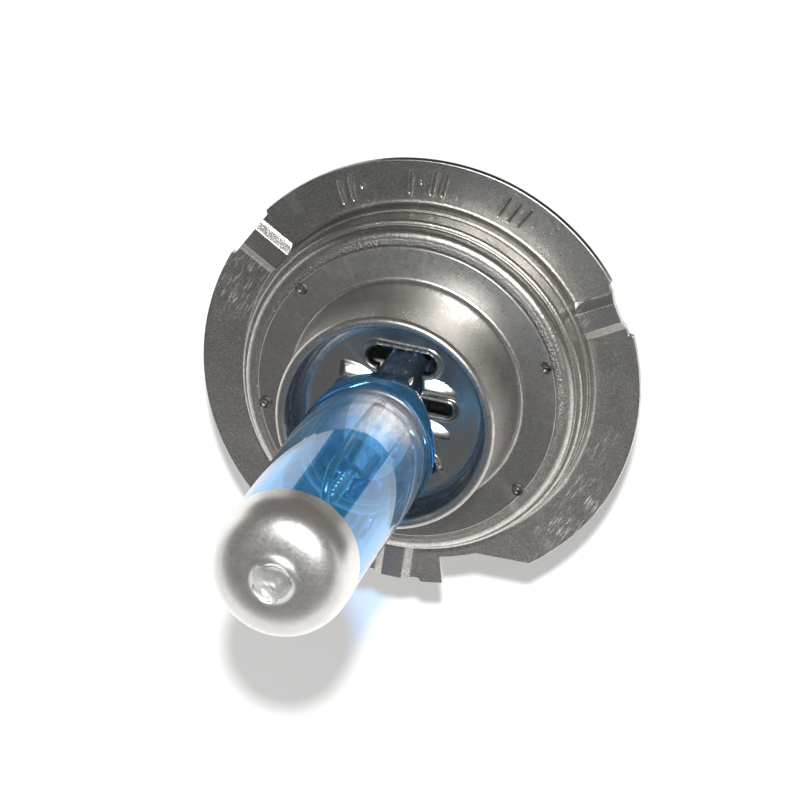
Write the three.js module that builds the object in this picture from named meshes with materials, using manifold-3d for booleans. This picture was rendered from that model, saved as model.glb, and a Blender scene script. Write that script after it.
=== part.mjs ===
// Halogen headlamp bulb with a 26 mm cap: a stamped flange ring with a collar, a sleeve and a rear can
// welded to it, a pinched quartz envelope with a silvered dome, an axial filament on two leads,
// and two flat terminal blades in a ceramic insulator.
//
// Units are millimetres. The bulb axis is Z and the glass points to +Z. Z = 0 is the reference
// plane: the tops of the three bosses that seat against the lamp. The keyed edge faces -Y.

import * as THREE from 'three';
import { mergeVertices } from 'three/addons/utils/BufferGeometryUtils.js';
import Module from 'manifold-3d';

const wasm = await Module();
wasm.setup();

// ---------------------------------------------------------------- driving dimensions

const GAP = 0.03; // clearance between pieces that touch
const ROUND_SIDES = 48; // facets round the large pressings
const GLASS_SIDES = 32; // facets round the envelope
const REACH = 3; // how far a cutting tool runs past the sheet it cuts

const flange = {
  radius: 16.5,
  sheet: 0.6,
  faceZ: -0.55, // flat face, a boss height below the reference plane
  footRadius: 13.15,
  footFillet: 0.3,
  stepRadius: 13.0, // locating step, 26 mm across
  stepZ: 0.42,
  stepFillet: 0.08,
  creaseFillet: 0.1,
  shoulderRadius: 12.8,
  shoulderZ: 2.25,
  shoulderFillet: 0.24,
  collarRadius: 12.35,
  collarFillet: 0.5,
  plateZ: 3.3, // top of the plate that closes the collar
  plateHole: 9.6,
};

const boss = {
  azimuths: [30, 150, 270], // degrees from +X
  topWidth: 1.5,
  footWidth: 3.0,
  innerRadius: 12.8,
  notchWidth: 4.2,
  notchRadius: 16.1, // the rim is cut straight across each boss
};

const key = {
  startAzimuth: 283.3, // degrees, where the recess drops in from the rim
  endAzimuth: 294.5,
  cornerAzimuth: 307.8, // where its straight edge meets the rim again
  radius: 14.4,
};

const sleeve = {
  sheet: 0.35,
  flangeRadius: 11.2,
  footRadius: 8.6,
  wallRadius: 8.14,
  mouthRadius: 7.3,
  lip: 0.15, // the mouth's edge turns down by this much
  lipFillet: 0.1,
  topZ: 10.65,
  topFillet: 0.3,
  footFillet: 0.5,
};

const can = {
  sheet: 0.35,
  flangeRadius: 11.2,
  radius: 9.3,
  bottomZ: -6.0,
  lipRadius: 7.55,
  flangeFillet: 0.3,
  cornerFillet: 0.6,
};

const weld = {
  azimuths: [22.6, 144.5, 196.6, 328.3], // degrees from +X
  circleRadius: 10.8,
  stemRadius: 0.28,
  headRadius: 0.48,
  crestRadius: 0.41,
  dishRadius: 0.29,
  crestHeight: 0.08,
  dishHeight: 0.02,
};

const clamp = {
  floorRadius: 7.15, // where the floor would meet the wall if the fillet were sharp
  wallRadius: 7.38,
  wallFillet: 1.2,
  sheet: 0.5,
  topZ: 7.2,
  wallZ: 9.4,
  hubRadius: 1.2, // the disc at the centre that the middle slot is cut from
  hubOverlap: 0.2,
  gapHalfWidth: 1.6, // the slot that holds the pinch
  endSlots: [
    { y: 3.85, halfLength: 1.8 },
    { y: -3.6, halfLength: 3.0 },
  ],
  endSlotRadius: 0.72,
  sideSlotY: 0.75,
  sideSlotEnd: 3.75,
  sideSlotRadius: 0.42,
  ribOffset: 1.6, // each side of the side slot
  ribRadius: 0.5,
  ribLift: -0.05, // a rib's axis above the floor
  ribStart: 1.9,
  ribEnd: 4.1,
};

const glass = {
  radius: 5.0,
  wall: 1.0,
  pinchHalfWidth: 4.0, // along Y
  pinchHalfThickness: 1.45, // along X
  pinchExponent: 6, // how square the pinch's section is
  pinchBottomZ: 1.6,
  pinchTopZ: 9.8,
  shoulderZ: 15.8,
  domeZ: 38.5,
  domeHeight: 3.8,
  domeExponent: 3.4, // 2 is an ellipse, more gives a flatter top and a rounder shoulder
};

const cavity = { floorZ: 12.6, fullZ: 17.4, floorHalfX: 0.7, floorHalfY: 3.1, channelTopZ: 14 };

const coating = { edgeZ: 38.0, thickness: 0.12, poleRadius: 1.6 };

const tip = {
  rootDepth: 0.5, // below the top of the dome
  rootRadius: 1.5,
  radius: 1.36,
  radiusRise: 0.35, // above the top of the dome
  shoulderRadius: 1.25,
  shoulderRise: 0.9,
  crownRadius: 0.92,
  crownDrop: 0.18, // below the top of the tip
  topRadius: 0.41,
  topZ: 44.0,
};

const filament = {
  centreZ: 25,
  length: 4.1,
  turns: 13,
  coilRadius: 0.45,
  coilFade: 0.04, // share of the length over which the coil opens from its tail
  wireRadius: 0.1,
  tail: 0.8,
};

const lead = {
  radius: 0.32,
  sides: 8,
  pinchY: 2.4,
  // [distance from the axis, z] of each wire's bends, upwards
  shortBends: [[2.4, 14], [2.2, 16.5], [1.2, 19.2], [0.2, 20.9]],
  longBends: [[2.4, 14], [2.7, 18], [2.7, 25], [2.5, 28.2], [1.4, 29.6], [0.3, 29.2]],
};

// Below the pinch each outer lead steps sideways to its blade and runs down beside the tab.
const outerBend = { startZ: 1.8, leaveZ: 1.2, arriveZ: 0.2, endZ: -0.4, ease: 0.1, tailZ: -2.0 };

const foil = { width: 2.2, thickness: 0.06, bottomZ: 4.0, topZ: 9.5 };

const insulator = {
  radius: 8.9,
  bottomZ: -5.62,
  topZ: -2.6,
  chamfer: 0.5,
  bossRadius: 7.4,
  bossChamfer: 0.3,
  bossZ: -7.4,
};

const blade = {
  y: 4.2,
  width: 6.3,
  thickness: 0.8,
  tipZ: -16,
  tabWidth: 3.0,
  tabTopZ: 0.4,
  chamfer: 0.8,
  detentZ: -12.6,
  detentRadius: 0.8,
};

// ---------------------------------------------------------------- materials

const material = (color, roughness, metalness, extra = {}) =>
  new THREE.MeshStandardMaterial({ color, roughness, metalness, ...extra });

const finish = {
  stampedSteel: material(0x8d8983, 0.42, 1.0),
  sleeveSteel: material(0x99958e, 0.38, 1.0),
  springSteel: material(0xb4b2ae, 0.25, 1.0),
  weldSteel: material(0x6f6b66, 0.5, 1.0),
  blueGlass: material(0x4f93d8, 0.03, 0.0, { transparent: true, opacity: 0.45 }),
  clearGlass: material(0xe6edf0, 0.03, 0.0, { transparent: true, opacity: 0.5 }),
  silver: material(0xb9b5ae, 0.3, 1.0),
  tungsten: material(0x6d6d70, 0.45, 1.0),
  molybdenum: material(0xa3a6ab, 0.35, 1.0),
  ceramic: material(0xe7e2d6, 0.6, 0.0),
  brassBlade: material(0xc9c5bb, 0.3, 1.0),
};

// ---------------------------------------------------------------- geometry helpers

const radians = THREE.MathUtils.degToRad;

function polar(radius, azimuth) {
  const angle = radians(azimuth);
  return new THREE.Vector2(radius * Math.cos(angle), radius * Math.sin(angle));
}

// A closed mesh with shared vertices and no collapsed triangles, as a manifold solid.
function solid(geometry) {
  const bare = geometry.clone();
  bare.deleteAttribute('normal');
  bare.deleteAttribute('uv');
  const merged = mergeVertices(bare, 1e-4);
  const index = merged.index.array;
  const triangles = [];
  for (let i = 0; i < index.length; i += 3) {
    const [a, b, c] = index.slice(i, i + 3);
    if (a !== b && b !== c && c !== a) triangles.push(a, b, c);
  }
  return new wasm.Manifold(
    new wasm.Mesh({
      numProp: 3,
      vertProperties: new Float32Array(merged.attributes.position.array),
      triVerts: new Uint32Array(triangles),
    }),
  );
}

function geometryOf(manifold) {
  const mesh = manifold.getMesh();
  const geometry = new THREE.BufferGeometry();
  geometry.setAttribute('position', new THREE.BufferAttribute(mesh.vertProperties, 3));
  geometry.setIndex(new THREE.BufferAttribute(mesh.triVerts, 1));
  geometry.computeVertexNormals();
  return geometry;
}

const cut = (body, tools) => tools.reduce((rest, tool) => rest.subtract(solid(tool)), body);
const join = (body, parts) => parts.reduce((whole, part) => whole.add(solid(part)), body);

// Lathe a counterclockwise (radius, z) outline about the Z axis.
function revolve(outline, sides) {
  const points = THREE.ShapeUtils.area(outline) < 0 ? [...outline].reverse() : [...outline];
  const touchesAxis = points.some((point) => point.x === 0);
  if (!touchesAxis) points.push(points[0]);
  const geometry = new THREE.LatheGeometry(points, sides);
  return geometry.rotateX(Math.PI / 2);
}

// Points along a polyline of [radius, z, fillet] corners.
function filletedPath(corners) {
  const at = corners.map(([r, z]) => new THREE.Vector2(r, z));
  const path = new THREE.Path().moveTo(at[0].x, at[0].y);
  for (let i = 1; i < at.length - 1; i += 1) {
    const fillet = corners[i][2];
    const into = at[i - 1].clone().sub(at[i]).normalize().multiplyScalar(fillet).add(at[i]);
    const out = at[i + 1].clone().sub(at[i]).normalize().multiplyScalar(fillet).add(at[i]);
    path.lineTo(into.x, into.y).quadraticCurveTo(at[i].x, at[i].y, out.x, out.y);
  }
  const end = at[at.length - 1];
  return path.lineTo(end.x, end.y).getPoints(2);
}

// The outline of a bent sheet: its outer face, and the same path moved to its right.
function sheetOutline(corners, thickness) {
  const face = filletedPath(corners);
  const back = face.map((point, i) => {
    const before = face[Math.max(i - 1, 0)];
    const after = face[Math.min(i + 1, face.length - 1)];
    const first = point.clone().sub(before).normalize();
    const second = after.clone().sub(point).normalize();
    const along = first.add(second).normalize();
    const isEnd = i === 0 || i === face.length - 1;
    const offset = isEnd ? thickness : thickness / along.dot(after.clone().sub(point).normalize());
    return new THREE.Vector2(point.x + along.y * offset, point.y - along.x * offset);
  });
  return [...face, ...back.reverse()];
}

function extrudeUp(shape, bottomZ, topZ, curveSegments = 8) {
  const geometry = new THREE.ExtrudeGeometry(shape, {
    depth: topZ - bottomZ,
    bevelEnabled: false,
    curveSegments,
  });
  return geometry.translate(0, 0, bottomZ);
}

function rectangle(halfX, halfY, centreX = 0, centreY = 0) {
  return new THREE.Shape([
    new THREE.Vector2(centreX - halfX, centreY - halfY),
    new THREE.Vector2(centreX + halfX, centreY - halfY),
    new THREE.Vector2(centreX + halfX, centreY + halfY),
    new THREE.Vector2(centreX - halfX, centreY + halfY),
  ]);
}

function circle(radius, centreX = 0, centreY = 0) {
  return new THREE.Shape().absarc(centreX, centreY, radius, 0, 2 * Math.PI, false);
}

// A slot with round ends, along X from startX to endX.
function roundEndedSlot(startX, endX, y, radius) {
  return new THREE.Shape()
    .absarc(endX, y, radius, -Math.PI / 2, Math.PI / 2, false)
    .absarc(startX, y, radius, Math.PI / 2, (3 * Math.PI) / 2, false);
}

// Skin a stack of equal rings of points, and close both ends with a fan.
function loft(rings) {
  const sides = rings[0].length;
  const centre = (ring) =>
    ring.reduce((sum, point) => sum.add(point), new THREE.Vector3()).divideScalar(sides);
  const points = [...rings.flat(), centre(rings[0]), centre(rings[rings.length - 1])];
  const bottom = points.length - 2;
  const top = points.length - 1;
  const lastRing = (rings.length - 1) * sides;
  const index = [];
  for (let i = 0; i < sides; i += 1) {
    const next = (i + 1) % sides;
    for (let row = 0; row < lastRing; row += sides) {
      index.push(row + i, row + next, row + sides + next);
      index.push(row + i, row + sides + next, row + sides + i);
    }
    index.push(bottom, next, i);
    index.push(top, lastRing + i, lastRing + next);
  }
  const geometry = new THREE.BufferGeometry().setFromPoints(points);
  geometry.setIndex(index);
  geometry.computeVertexNormals();
  return geometry;
}

// A superellipse ring: exponent 2 is an ellipse, larger ones square it off.
function superellipse(halfX, halfY, exponent, z, sides) {
  const ring = [];
  for (let i = 0; i < sides; i += 1) {
    const angle = (2 * Math.PI * i) / sides;
    const x = Math.cos(angle);
    const y = Math.sin(angle);
    const bend = (value) => Math.sign(value) * Math.abs(value) ** (2 / exponent);
    ring.push(new THREE.Vector3(halfX * bend(x), halfY * bend(y), z));
  }
  return ring;
}

// A round wire along a smooth curve.
function wire(curve, radius, sides, steps) {
  const section = new THREE.Shape();
  for (let i = 0; i < sides; i += 1) {
    const point = polar(radius, (360 * i) / sides);
    if (i === 0) section.moveTo(point.x, point.y);
    else section.lineTo(point.x, point.y);
  }
  return new THREE.ExtrudeGeometry(section, { steps, extrudePath: curve, bevelEnabled: false });
}

const smooth = (points) => new THREE.CatmullRomCurve3(points.map((p) => new THREE.Vector3(...p)));

// ---------------------------------------------------------------- the assembly

const bulb = new THREE.Group();

function add(name, geometry, itsMaterial) {
  const mesh = new THREE.Mesh(geometry, itsMaterial);
  mesh.name = name;
  bulb.add(mesh);
}

// ---- flange ring: one pressing with a raised boss at three places and a keyed rim

// A raised boss runs out along +X at z = 0 and is turned to its azimuth.
function bossBlock(lift) {
  const foot = boss.footWidth / 2;
  const top = boss.topWidth / 2;
  const footZ = flange.faceZ - GAP + lift;
  const section = new THREE.Shape([
    new THREE.Vector2(-foot, footZ),
    new THREE.Vector2(foot, footZ),
    new THREE.Vector2(top, lift),
    new THREE.Vector2(-top, lift),
  ]);
  const block = new THREE.ExtrudeGeometry(section, {
    depth: flange.radius - boss.innerRadius,
    bevelEnabled: false,
  });
  // The section's x runs across the boss and its y runs up.
  block.rotateX(Math.PI / 2).rotateZ(Math.PI / 2);
  return block.translate(boss.innerRadius, 0, 0);
}

function bossNotch() {
  const depth = flange.radius - boss.notchRadius + REACH;
  const shape = rectangle(depth / 2, boss.notchWidth / 2, boss.notchRadius + depth / 2, 0);
  return extrudeUp(shape, -REACH, REACH);
}

function keyRecess() {
  const steps = 4;
  const outside = flange.radius + REACH;
  const points = [];
  for (let i = 0; i <= steps; i += 1) {
    points.push(polar(key.radius, THREE.MathUtils.lerp(key.startAzimuth, key.endAzimuth, i / steps)));
  }
  points.push(polar(flange.radius, key.cornerAzimuth), polar(outside, key.cornerAzimuth));
  points.push(polar(outside, key.startAzimuth));
  return extrudeUp(new THREE.Shape(points), -REACH, REACH);
}

// Section of the plate, stepped collar and flat, a distance inside the outer face.
function collarSection(inset) {
  return filletedPath([
    [flange.plateHole, flange.plateZ - inset],
    [flange.collarRadius - inset, flange.plateZ - inset, flange.collarFillet],
    [flange.collarRadius - inset, flange.shoulderZ - inset, flange.creaseFillet],
    [flange.shoulderRadius - inset, flange.shoulderZ - inset, flange.shoulderFillet],
    [flange.shoulderRadius - inset, flange.stepZ - inset, flange.creaseFillet],
    [flange.stepRadius - inset, flange.stepZ - inset, flange.stepFillet],
    [flange.footRadius - inset, flange.faceZ - inset, flange.footFillet],
    [flange.radius, flange.faceZ - inset],
  ]);
}

function flangeRing() {
  const outline = [...collarSection(0), ...collarSection(flange.sheet).reverse()];
  let ring = solid(revolve(outline, ROUND_SIDES));
  for (const azimuth of boss.azimuths) {
    const turn = radians(azimuth);
    const hollow = bossBlock(-flange.sheet).translate(flange.sheet, 0, 0);
    ring = cut(ring, [hollow.rotateZ(turn)]);
    ring = join(ring, [bossBlock(0).rotateZ(turn)]);
    ring = cut(ring, [bossNotch().rotateZ(turn)]);
  }
  return cut(ring, [keyRecess()]);
}

add('flange_ring', geometryOf(flangeRing()), finish.stampedSteel);

// ---- base sleeve: a flange on the ring's plate, and the cup that shields the pinch

const sleeveFlangeZ = flange.plateZ + GAP + sleeve.sheet;

function baseSleeve() {
  const outline = sheetOutline(
    [
      [sleeve.mouthRadius, sleeve.topZ - sleeve.lip],
      [sleeve.mouthRadius + sleeve.lip, sleeve.topZ, sleeve.lipFillet],
      [sleeve.wallRadius, sleeve.topZ, sleeve.topFillet],
      [sleeve.footRadius, sleeveFlangeZ, sleeve.footFillet],
      [sleeve.flangeRadius, sleeveFlangeZ],
    ],
    sleeve.sheet,
  );
  const holes = weld.azimuths.map((azimuth) => {
    const centre = polar(weld.circleRadius, azimuth);
    const hole = circle(weld.stemRadius + 2 * GAP, centre.x, centre.y);
    return extrudeUp(hole, flange.plateZ, flange.plateZ + REACH, 10);
  });
  return cut(solid(revolve(outline, ROUND_SIDES)), holes);
}

add('base_sleeve', geometryOf(baseSleeve()), finish.sleeveSteel);

// ---- weld spots: nuggets through the sleeve's flange, with a dished crater on top

function weldSpot(azimuth) {
  const rootZ = flange.plateZ + GAP;
  const headZ = sleeveFlangeZ + GAP;
  const crestZ = headZ + weld.crestHeight;
  const outline = [
    [0, rootZ],
    [weld.stemRadius, rootZ],
    [weld.stemRadius, headZ],
    [weld.headRadius, headZ],
    [weld.crestRadius, crestZ],
    [weld.dishRadius, crestZ],
    [0, headZ + weld.dishHeight],
  ].map(([r, z]) => new THREE.Vector2(r, z));
  const centre = polar(weld.circleRadius, azimuth);
  return revolve(outline, 10).translate(centre.x, centre.y, 0);
}

weld.azimuths.forEach((azimuth, i) => add(`weld_spot_${i + 1}`, weldSpot(azimuth), finish.weldSteel));

// ---- rear can: a flange under the ring's plate, and an inturned lip that holds the insulator

function rearCan() {
  const flangeTopZ = flange.plateZ - flange.sheet - GAP;
  const outline = sheetOutline(
    [
      [can.flangeRadius, flangeTopZ - can.sheet],
      [can.radius, flangeTopZ - can.sheet, can.flangeFillet],
      [can.radius, can.bottomZ, can.cornerFillet],
      [can.lipRadius, can.bottomZ],
    ],
    can.sheet,
  );
  return revolve(outline, ROUND_SIDES);
}

add('rear_can', rearCan(), finish.sleeveSteel);

// ---- clamp plate: the dished spring plate in the cup, slotted and ribbed, that grips the pinch

// A rod along X on one side of the plate, as far as the ribs reach.
function ribRod(side, y, z, radius, inset) {
  const length = clamp.ribEnd - clamp.ribStart - 2 * inset;
  const centreX = (side * (clamp.ribStart + clamp.ribEnd)) / 2;
  const rod = new THREE.CylinderGeometry(radius, radius, length, 12);
  return rod.rotateZ(Math.PI / 2).translate(centreX, y, z);
}

function clampPlate() {
  const outline = sheetOutline(
    [
      [clamp.hubRadius - clamp.hubOverlap, clamp.topZ],
      [clamp.floorRadius, clamp.topZ, clamp.wallFillet],
      [clamp.wallRadius, clamp.wallZ],
    ],
    clamp.sheet,
  );
  const underZ = clamp.topZ - clamp.sheet;
  const hub = extrudeUp(circle(clamp.hubRadius), underZ, clamp.topZ);
  const punch = (shape) => extrudeUp(shape, clamp.topZ - REACH, clamp.topZ + REACH, 6);
  const [upper, lower] = clamp.endSlots;
  const middleY = (upper.y + lower.y) / 2;
  const gap = rectangle(clamp.gapHalfWidth, (upper.y - lower.y) / 2, 0, middleY);
  const endSlots = clamp.endSlots.map(({ y, halfLength }) =>
    punch(roundEndedSlot(-halfLength, halfLength, y, clamp.endSlotRadius)),
  );
  let plate = cut(join(solid(revolve(outline, ROUND_SIDES)), [hub]), [punch(gap), ...endSlots]);
  for (const side of [-1, 1]) {
    for (const ribSide of [-1, 1]) {
      const y = clamp.sideSlotY + ribSide * clamp.ribOffset;
      const rib = ribRod(side, y, clamp.topZ + clamp.ribLift, clamp.ribRadius, 0);
      const groove = ribRod(side, y, underZ, clamp.ribRadius / 2, clamp.ribRadius / 2);
      plate = cut(join(plate, [rib]), [groove]);
    }
    const [start, end] = [side * clamp.gapHalfWidth, side * clamp.sideSlotEnd].sort((a, b) => a - b);
    plate = cut(plate, [punch(roundEndedSlot(start, end, clamp.sideSlotY, clamp.sideSlotRadius))]);
  }
  return plate;
}

add('clamp_plate', geometryOf(clampPlate()), finish.springSteel);

// ---- glass envelope: flat pinch, round tube and flattened dome, hollow above the pinch

// Rings of the envelope's outer skin, moved outward by `grow`.
function envelopeRings(grow) {
  const rings = [];
  const blend = (z) => THREE.MathUtils.smoothstep(z, glass.pinchTopZ, glass.shoulderZ);
  const shoulderSteps = 6;
  const levels = [glass.pinchBottomZ];
  for (let i = 0; i <= shoulderSteps; i += 1) {
    levels.push(THREE.MathUtils.lerp(glass.pinchTopZ, glass.shoulderZ, i / shoulderSteps));
  }
  for (const z of levels) {
    const t = blend(z);
    const halfX = THREE.MathUtils.lerp(glass.pinchHalfThickness, glass.radius, t) + grow;
    const halfY = THREE.MathUtils.lerp(glass.pinchHalfWidth, glass.radius, t) + grow;
    rings.push(superellipse(halfX, halfY, THREE.MathUtils.lerp(glass.pinchExponent, 2, t), z, GLASS_SIDES));
  }
  rings.push(...domeRings(glass.radius + grow, glass.domeHeight + grow, glass.domeZ));
  return rings;
}

function domeRings(radius, height, baseZ) {
  const steps = 7;
  const rings = [];
  for (let i = 0; i < steps; i += 1) {
    const angle = ((Math.PI / 2) * i) / steps;
    const r = radius * Math.cos(angle) ** (2 / glass.domeExponent);
    const z = baseZ + height * Math.sin(angle) ** (2 / glass.domeExponent);
    rings.push(superellipse(r, r, 2, z, GLASS_SIDES));
  }
  rings.push(superellipse(0.05, 0.05, 2, baseZ + height, GLASS_SIDES));
  return rings;
}

function glassCavity() {
  const inner = glass.radius - glass.wall;
  const steps = 5;
  const rings = [];
  for (let i = 0; i <= steps; i += 1) {
    const z = THREE.MathUtils.lerp(cavity.floorZ, cavity.fullZ, i / steps);
    const t = Math.sin(((Math.PI / 2) * i) / steps);
    const halfX = THREE.MathUtils.lerp(cavity.floorHalfX, inner, t);
    const halfY = THREE.MathUtils.lerp(cavity.floorHalfY, inner, t);
    rings.push(superellipse(halfX, halfY, 2, z, GLASS_SIDES));
  }
  rings.push(...domeRings(inner, glass.domeHeight - glass.wall, glass.domeZ));
  return loft(rings);
}

function foilPocket(side) {
  const shape = rectangle(foil.thickness / 2 + GAP, foil.width / 2 + GAP, 0, side * lead.pinchY);
  return extrudeUp(shape, foil.bottomZ - GAP, foil.topZ + GAP);
}

// The channels hold the leads above and below the foils and nothing beside them.
function leadChannels(side) {
  const radius = lead.radius + GAP;
  const y = side * lead.pinchY;
  return [
    extrudeUp(circle(radius, 0, y), glass.pinchBottomZ - REACH, foil.bottomZ, 6),
    extrudeUp(circle(radius, 0, y), foil.topZ, cavity.channelTopZ, 6),
  ];
}

function glassEnvelope() {
  const channels = [-1, 1].flatMap((side) => [...leadChannels(side), foilPocket(side)]);
  return cut(solid(loft(envelopeRings(0))), [glassCavity(), ...channels]);
}

add('glass_envelope', geometryOf(glassEnvelope()), finish.blueGlass);

// ---- silvered dome: a thin cap over the dome, open round the exhaust tip

function tipCoating() {
  const outer = solid(loft(envelopeRings(GAP + coating.thickness)));
  const below = extrudeUp(circle(glass.radius * 2), 0, coating.edgeZ);
  const pole = extrudeUp(circle(coating.poleRadius), glass.domeZ, tip.topZ, 20);
  return cut(outer, [loft(envelopeRings(GAP)), below, pole]);
}

add('tip_coating', geometryOf(tipCoating()), finish.silver);

// ---- exhaust tip: the sealed stub of the tube that the bulb was filled through

function exhaustTip() {
  const domeTop = glass.domeZ + glass.domeHeight;
  const outline = [
    [0, domeTop - tip.rootDepth],
    [tip.rootRadius, domeTop - tip.rootDepth],
    [tip.radius, domeTop + tip.radiusRise],
    [tip.shoulderRadius, domeTop + tip.shoulderRise],
    [tip.crownRadius, tip.topZ - tip.crownDrop],
    [tip.topRadius, tip.topZ],
    [0, tip.topZ],
  ].map(([r, z]) => new THREE.Vector2(r, z));
  return cut(solid(revolve(outline, 16)), [loft(envelopeRings(GAP))]);
}

add('exhaust_tip', geometryOf(exhaustTip()), finish.clearGlass);

// ---- filament: an axial coil with a straight tail at each end

class FilamentCurve extends THREE.Curve {
  getPoint(t, target = new THREE.Vector3()) {
    const total = filament.length + 2 * filament.tail;
    const along = t * total;
    const inCoil = THREE.MathUtils.clamp((along - filament.tail) / filament.length, 0, 1);
    const angle = 2 * Math.PI * filament.turns * inCoil;
    const fromEnd = Math.min(inCoil, 1 - inCoil);
    const radius = filament.coilRadius * THREE.MathUtils.smoothstep(fromEnd, 0, filament.coilFade);
    const z = filament.centreZ - total / 2 + along;
    return target.set(radius * Math.cos(angle), radius * Math.sin(angle), z);
  }
}

add('filament', wire(new FilamentCurve(), filament.wireRadius, 4, filament.turns * 9), finish.tungsten);

// ---- leads and foils: wire, foil, wire on each side of the pinch

const filamentLowZ = filament.centreZ - filament.length / 2 - filament.tail;
const filamentHighZ = filament.centreZ + filament.length / 2 + filament.tail;
const innerLeadZ = foil.topZ + GAP;

const bends = (side, route) => route.map(([y, z]) => [0, side * y, z]);

const shortLead = smooth([
  [0, -lead.pinchY, innerLeadZ],
  ...bends(-1, lead.shortBends),
  [0, 0, filamentLowZ - GAP],
]);

const longLead = smooth([
  [0, lead.pinchY, innerLeadZ],
  ...bends(1, lead.longBends),
  [0, 0, filamentHighZ + lead.radius + GAP],
]);

add('short_lead', wire(shortLead, lead.radius, lead.sides, 16), finish.molybdenum);
add('long_lead', wire(longLead, lead.radius, lead.sides, 26), finish.molybdenum);

for (const [name, side] of [['left', 1], ['right', -1]]) {
  const y = side * lead.pinchY;
  const shape = rectangle(foil.thickness / 2, foil.width / 2, 0, y);
  add(`foil_${name}`, extrudeUp(shape, foil.bottomZ, foil.topZ), finish.molybdenum);

  const weldY = side * (blade.y - blade.thickness / 2 - lead.radius - GAP);
  const outerLead = smooth([
    [0, y, foil.bottomZ - GAP],
    [0, y, outerBend.startZ],
    [0, y + side * outerBend.ease, outerBend.leaveZ],
    [0, weldY - side * outerBend.ease, outerBend.arriveZ],
    [0, weldY, outerBend.endZ],
    [0, weldY, outerBend.tailZ],
  ]);
  add(`outer_lead_${name}`, wire(outerLead, lead.radius, lead.sides, 16), finish.molybdenum);
}

// ---- insulator: a stepped ceramic body with a slot for each blade

function insulatorBody() {
  const outline = [
    [0, insulator.bossZ],
    [insulator.bossRadius - insulator.bossChamfer, insulator.bossZ],
    [insulator.bossRadius, insulator.bossZ + insulator.bossChamfer],
    [insulator.bossRadius, insulator.bottomZ],
    [insulator.radius - insulator.chamfer, insulator.bottomZ],
    [insulator.radius, insulator.bottomZ + insulator.chamfer],
    [insulator.radius, insulator.topZ],
    [0, insulator.topZ],
  ].map(([r, z]) => new THREE.Vector2(r, z));
  const slots = [-1, 1].map((side) => {
    const slot = rectangle(blade.width / 2 + GAP, blade.thickness / 2 + GAP, 0, side * blade.y);
    return extrudeUp(slot, insulator.bossZ - REACH, insulator.topZ + REACH);
  });
  return cut(solid(revolve(outline, ROUND_SIDES)), slots);
}

add('insulator', geometryOf(insulatorBody()), finish.ceramic);

// ---- terminal blades: flat 6.3 mm tabs with a chamfered tip and a detent hole

function terminalBlade(side) {
  const half = blade.width / 2;
  const tab = blade.tabWidth / 2;
  const { chamfer, tipZ, tabTopZ } = blade;
  const shape = new THREE.Shape([
    new THREE.Vector2(-half + chamfer, tipZ),
    new THREE.Vector2(half - chamfer, tipZ),
    new THREE.Vector2(half, tipZ + 1.5 * chamfer),
    new THREE.Vector2(half, insulator.topZ),
    new THREE.Vector2(tab, insulator.topZ),
    new THREE.Vector2(tab, tabTopZ),
    new THREE.Vector2(-tab, tabTopZ),
    new THREE.Vector2(-tab, insulator.topZ),
    new THREE.Vector2(-half, insulator.topZ),
    new THREE.Vector2(-half, tipZ + 1.5 * chamfer),
  ]);
  shape.holes.push(circle(blade.detentRadius, 0, blade.detentZ));
  const geometry = new THREE.ExtrudeGeometry(shape, {
    depth: blade.thickness,
    bevelEnabled: false,
    curveSegments: 6,
  });
  // Stand the outline up in the XZ plane, centred on the blade's own plane.
  geometry.rotateX(Math.PI / 2);
  return geometry.translate(0, side * blade.y + blade.thickness / 2, 0);
}

add('terminal_blade_left', terminalBlade(1), finish.brassBlade);
add('terminal_blade_right', terminalBlade(-1), finish.brassBlade);

export default bulb;
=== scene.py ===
import math

import bpy
import numpy as np
from mathutils import Matrix, Vector


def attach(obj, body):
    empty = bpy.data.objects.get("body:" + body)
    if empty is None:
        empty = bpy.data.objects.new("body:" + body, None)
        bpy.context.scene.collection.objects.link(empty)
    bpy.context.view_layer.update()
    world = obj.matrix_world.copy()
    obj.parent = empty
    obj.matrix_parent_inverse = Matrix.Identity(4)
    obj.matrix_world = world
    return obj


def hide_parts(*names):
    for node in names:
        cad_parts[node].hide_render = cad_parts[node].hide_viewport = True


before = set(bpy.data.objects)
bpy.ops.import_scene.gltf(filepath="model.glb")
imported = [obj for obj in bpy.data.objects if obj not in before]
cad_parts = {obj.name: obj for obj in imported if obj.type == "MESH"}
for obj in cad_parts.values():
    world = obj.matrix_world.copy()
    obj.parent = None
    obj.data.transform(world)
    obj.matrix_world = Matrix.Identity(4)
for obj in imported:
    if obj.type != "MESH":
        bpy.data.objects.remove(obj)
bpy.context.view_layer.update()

# Shapes are worked out in millimetres and scaled to metres when a mesh is made.
MM = 0.001
BODY = "root"
scene = bpy.context.scene

# ------------------------------------------------------------------ dimensions, in millimetres

FLANGE_RADIUS = 16.5
FLANGE_SHEET = 0.6
FLANGE_Z = -0.55
FLAT_START = 13.8  # where the flat's evenly spaced rows begin
FOOT_RADIUS = 13.15
STEP_RADIUS = 13.0
STEP_Z = 0.42
LEDGE_RADIUS = 12.8  # the collar's upper step
LEDGE_Z = 2.25
COLLAR_RADIUS = 12.35
PLATE_Z = 3.3
PLATE_HOLE = 9.6
EDGE_ROUND = 0.09  # radius of a cut edge

BOSS_AZIMUTHS = (30.0, 150.0, 270.0)
BOSS_TOP_HALF = 0.75
BOSS_FOOT_HALF = 1.42
BOSS_FADE = 8  # degrees past a boss's foot in which the columns return to even spacing
BOSS_REACH = 0.8  # how far above the flat a boss can lift the collar's foot
NOTCH_HALF = 2.0
NOTCH_RADIUS = 16.1
KEY_START, KEY_END, KEY_CORNER = 283.3, 294.5, 307.8
KEY_RADIUS = 14.4

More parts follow.
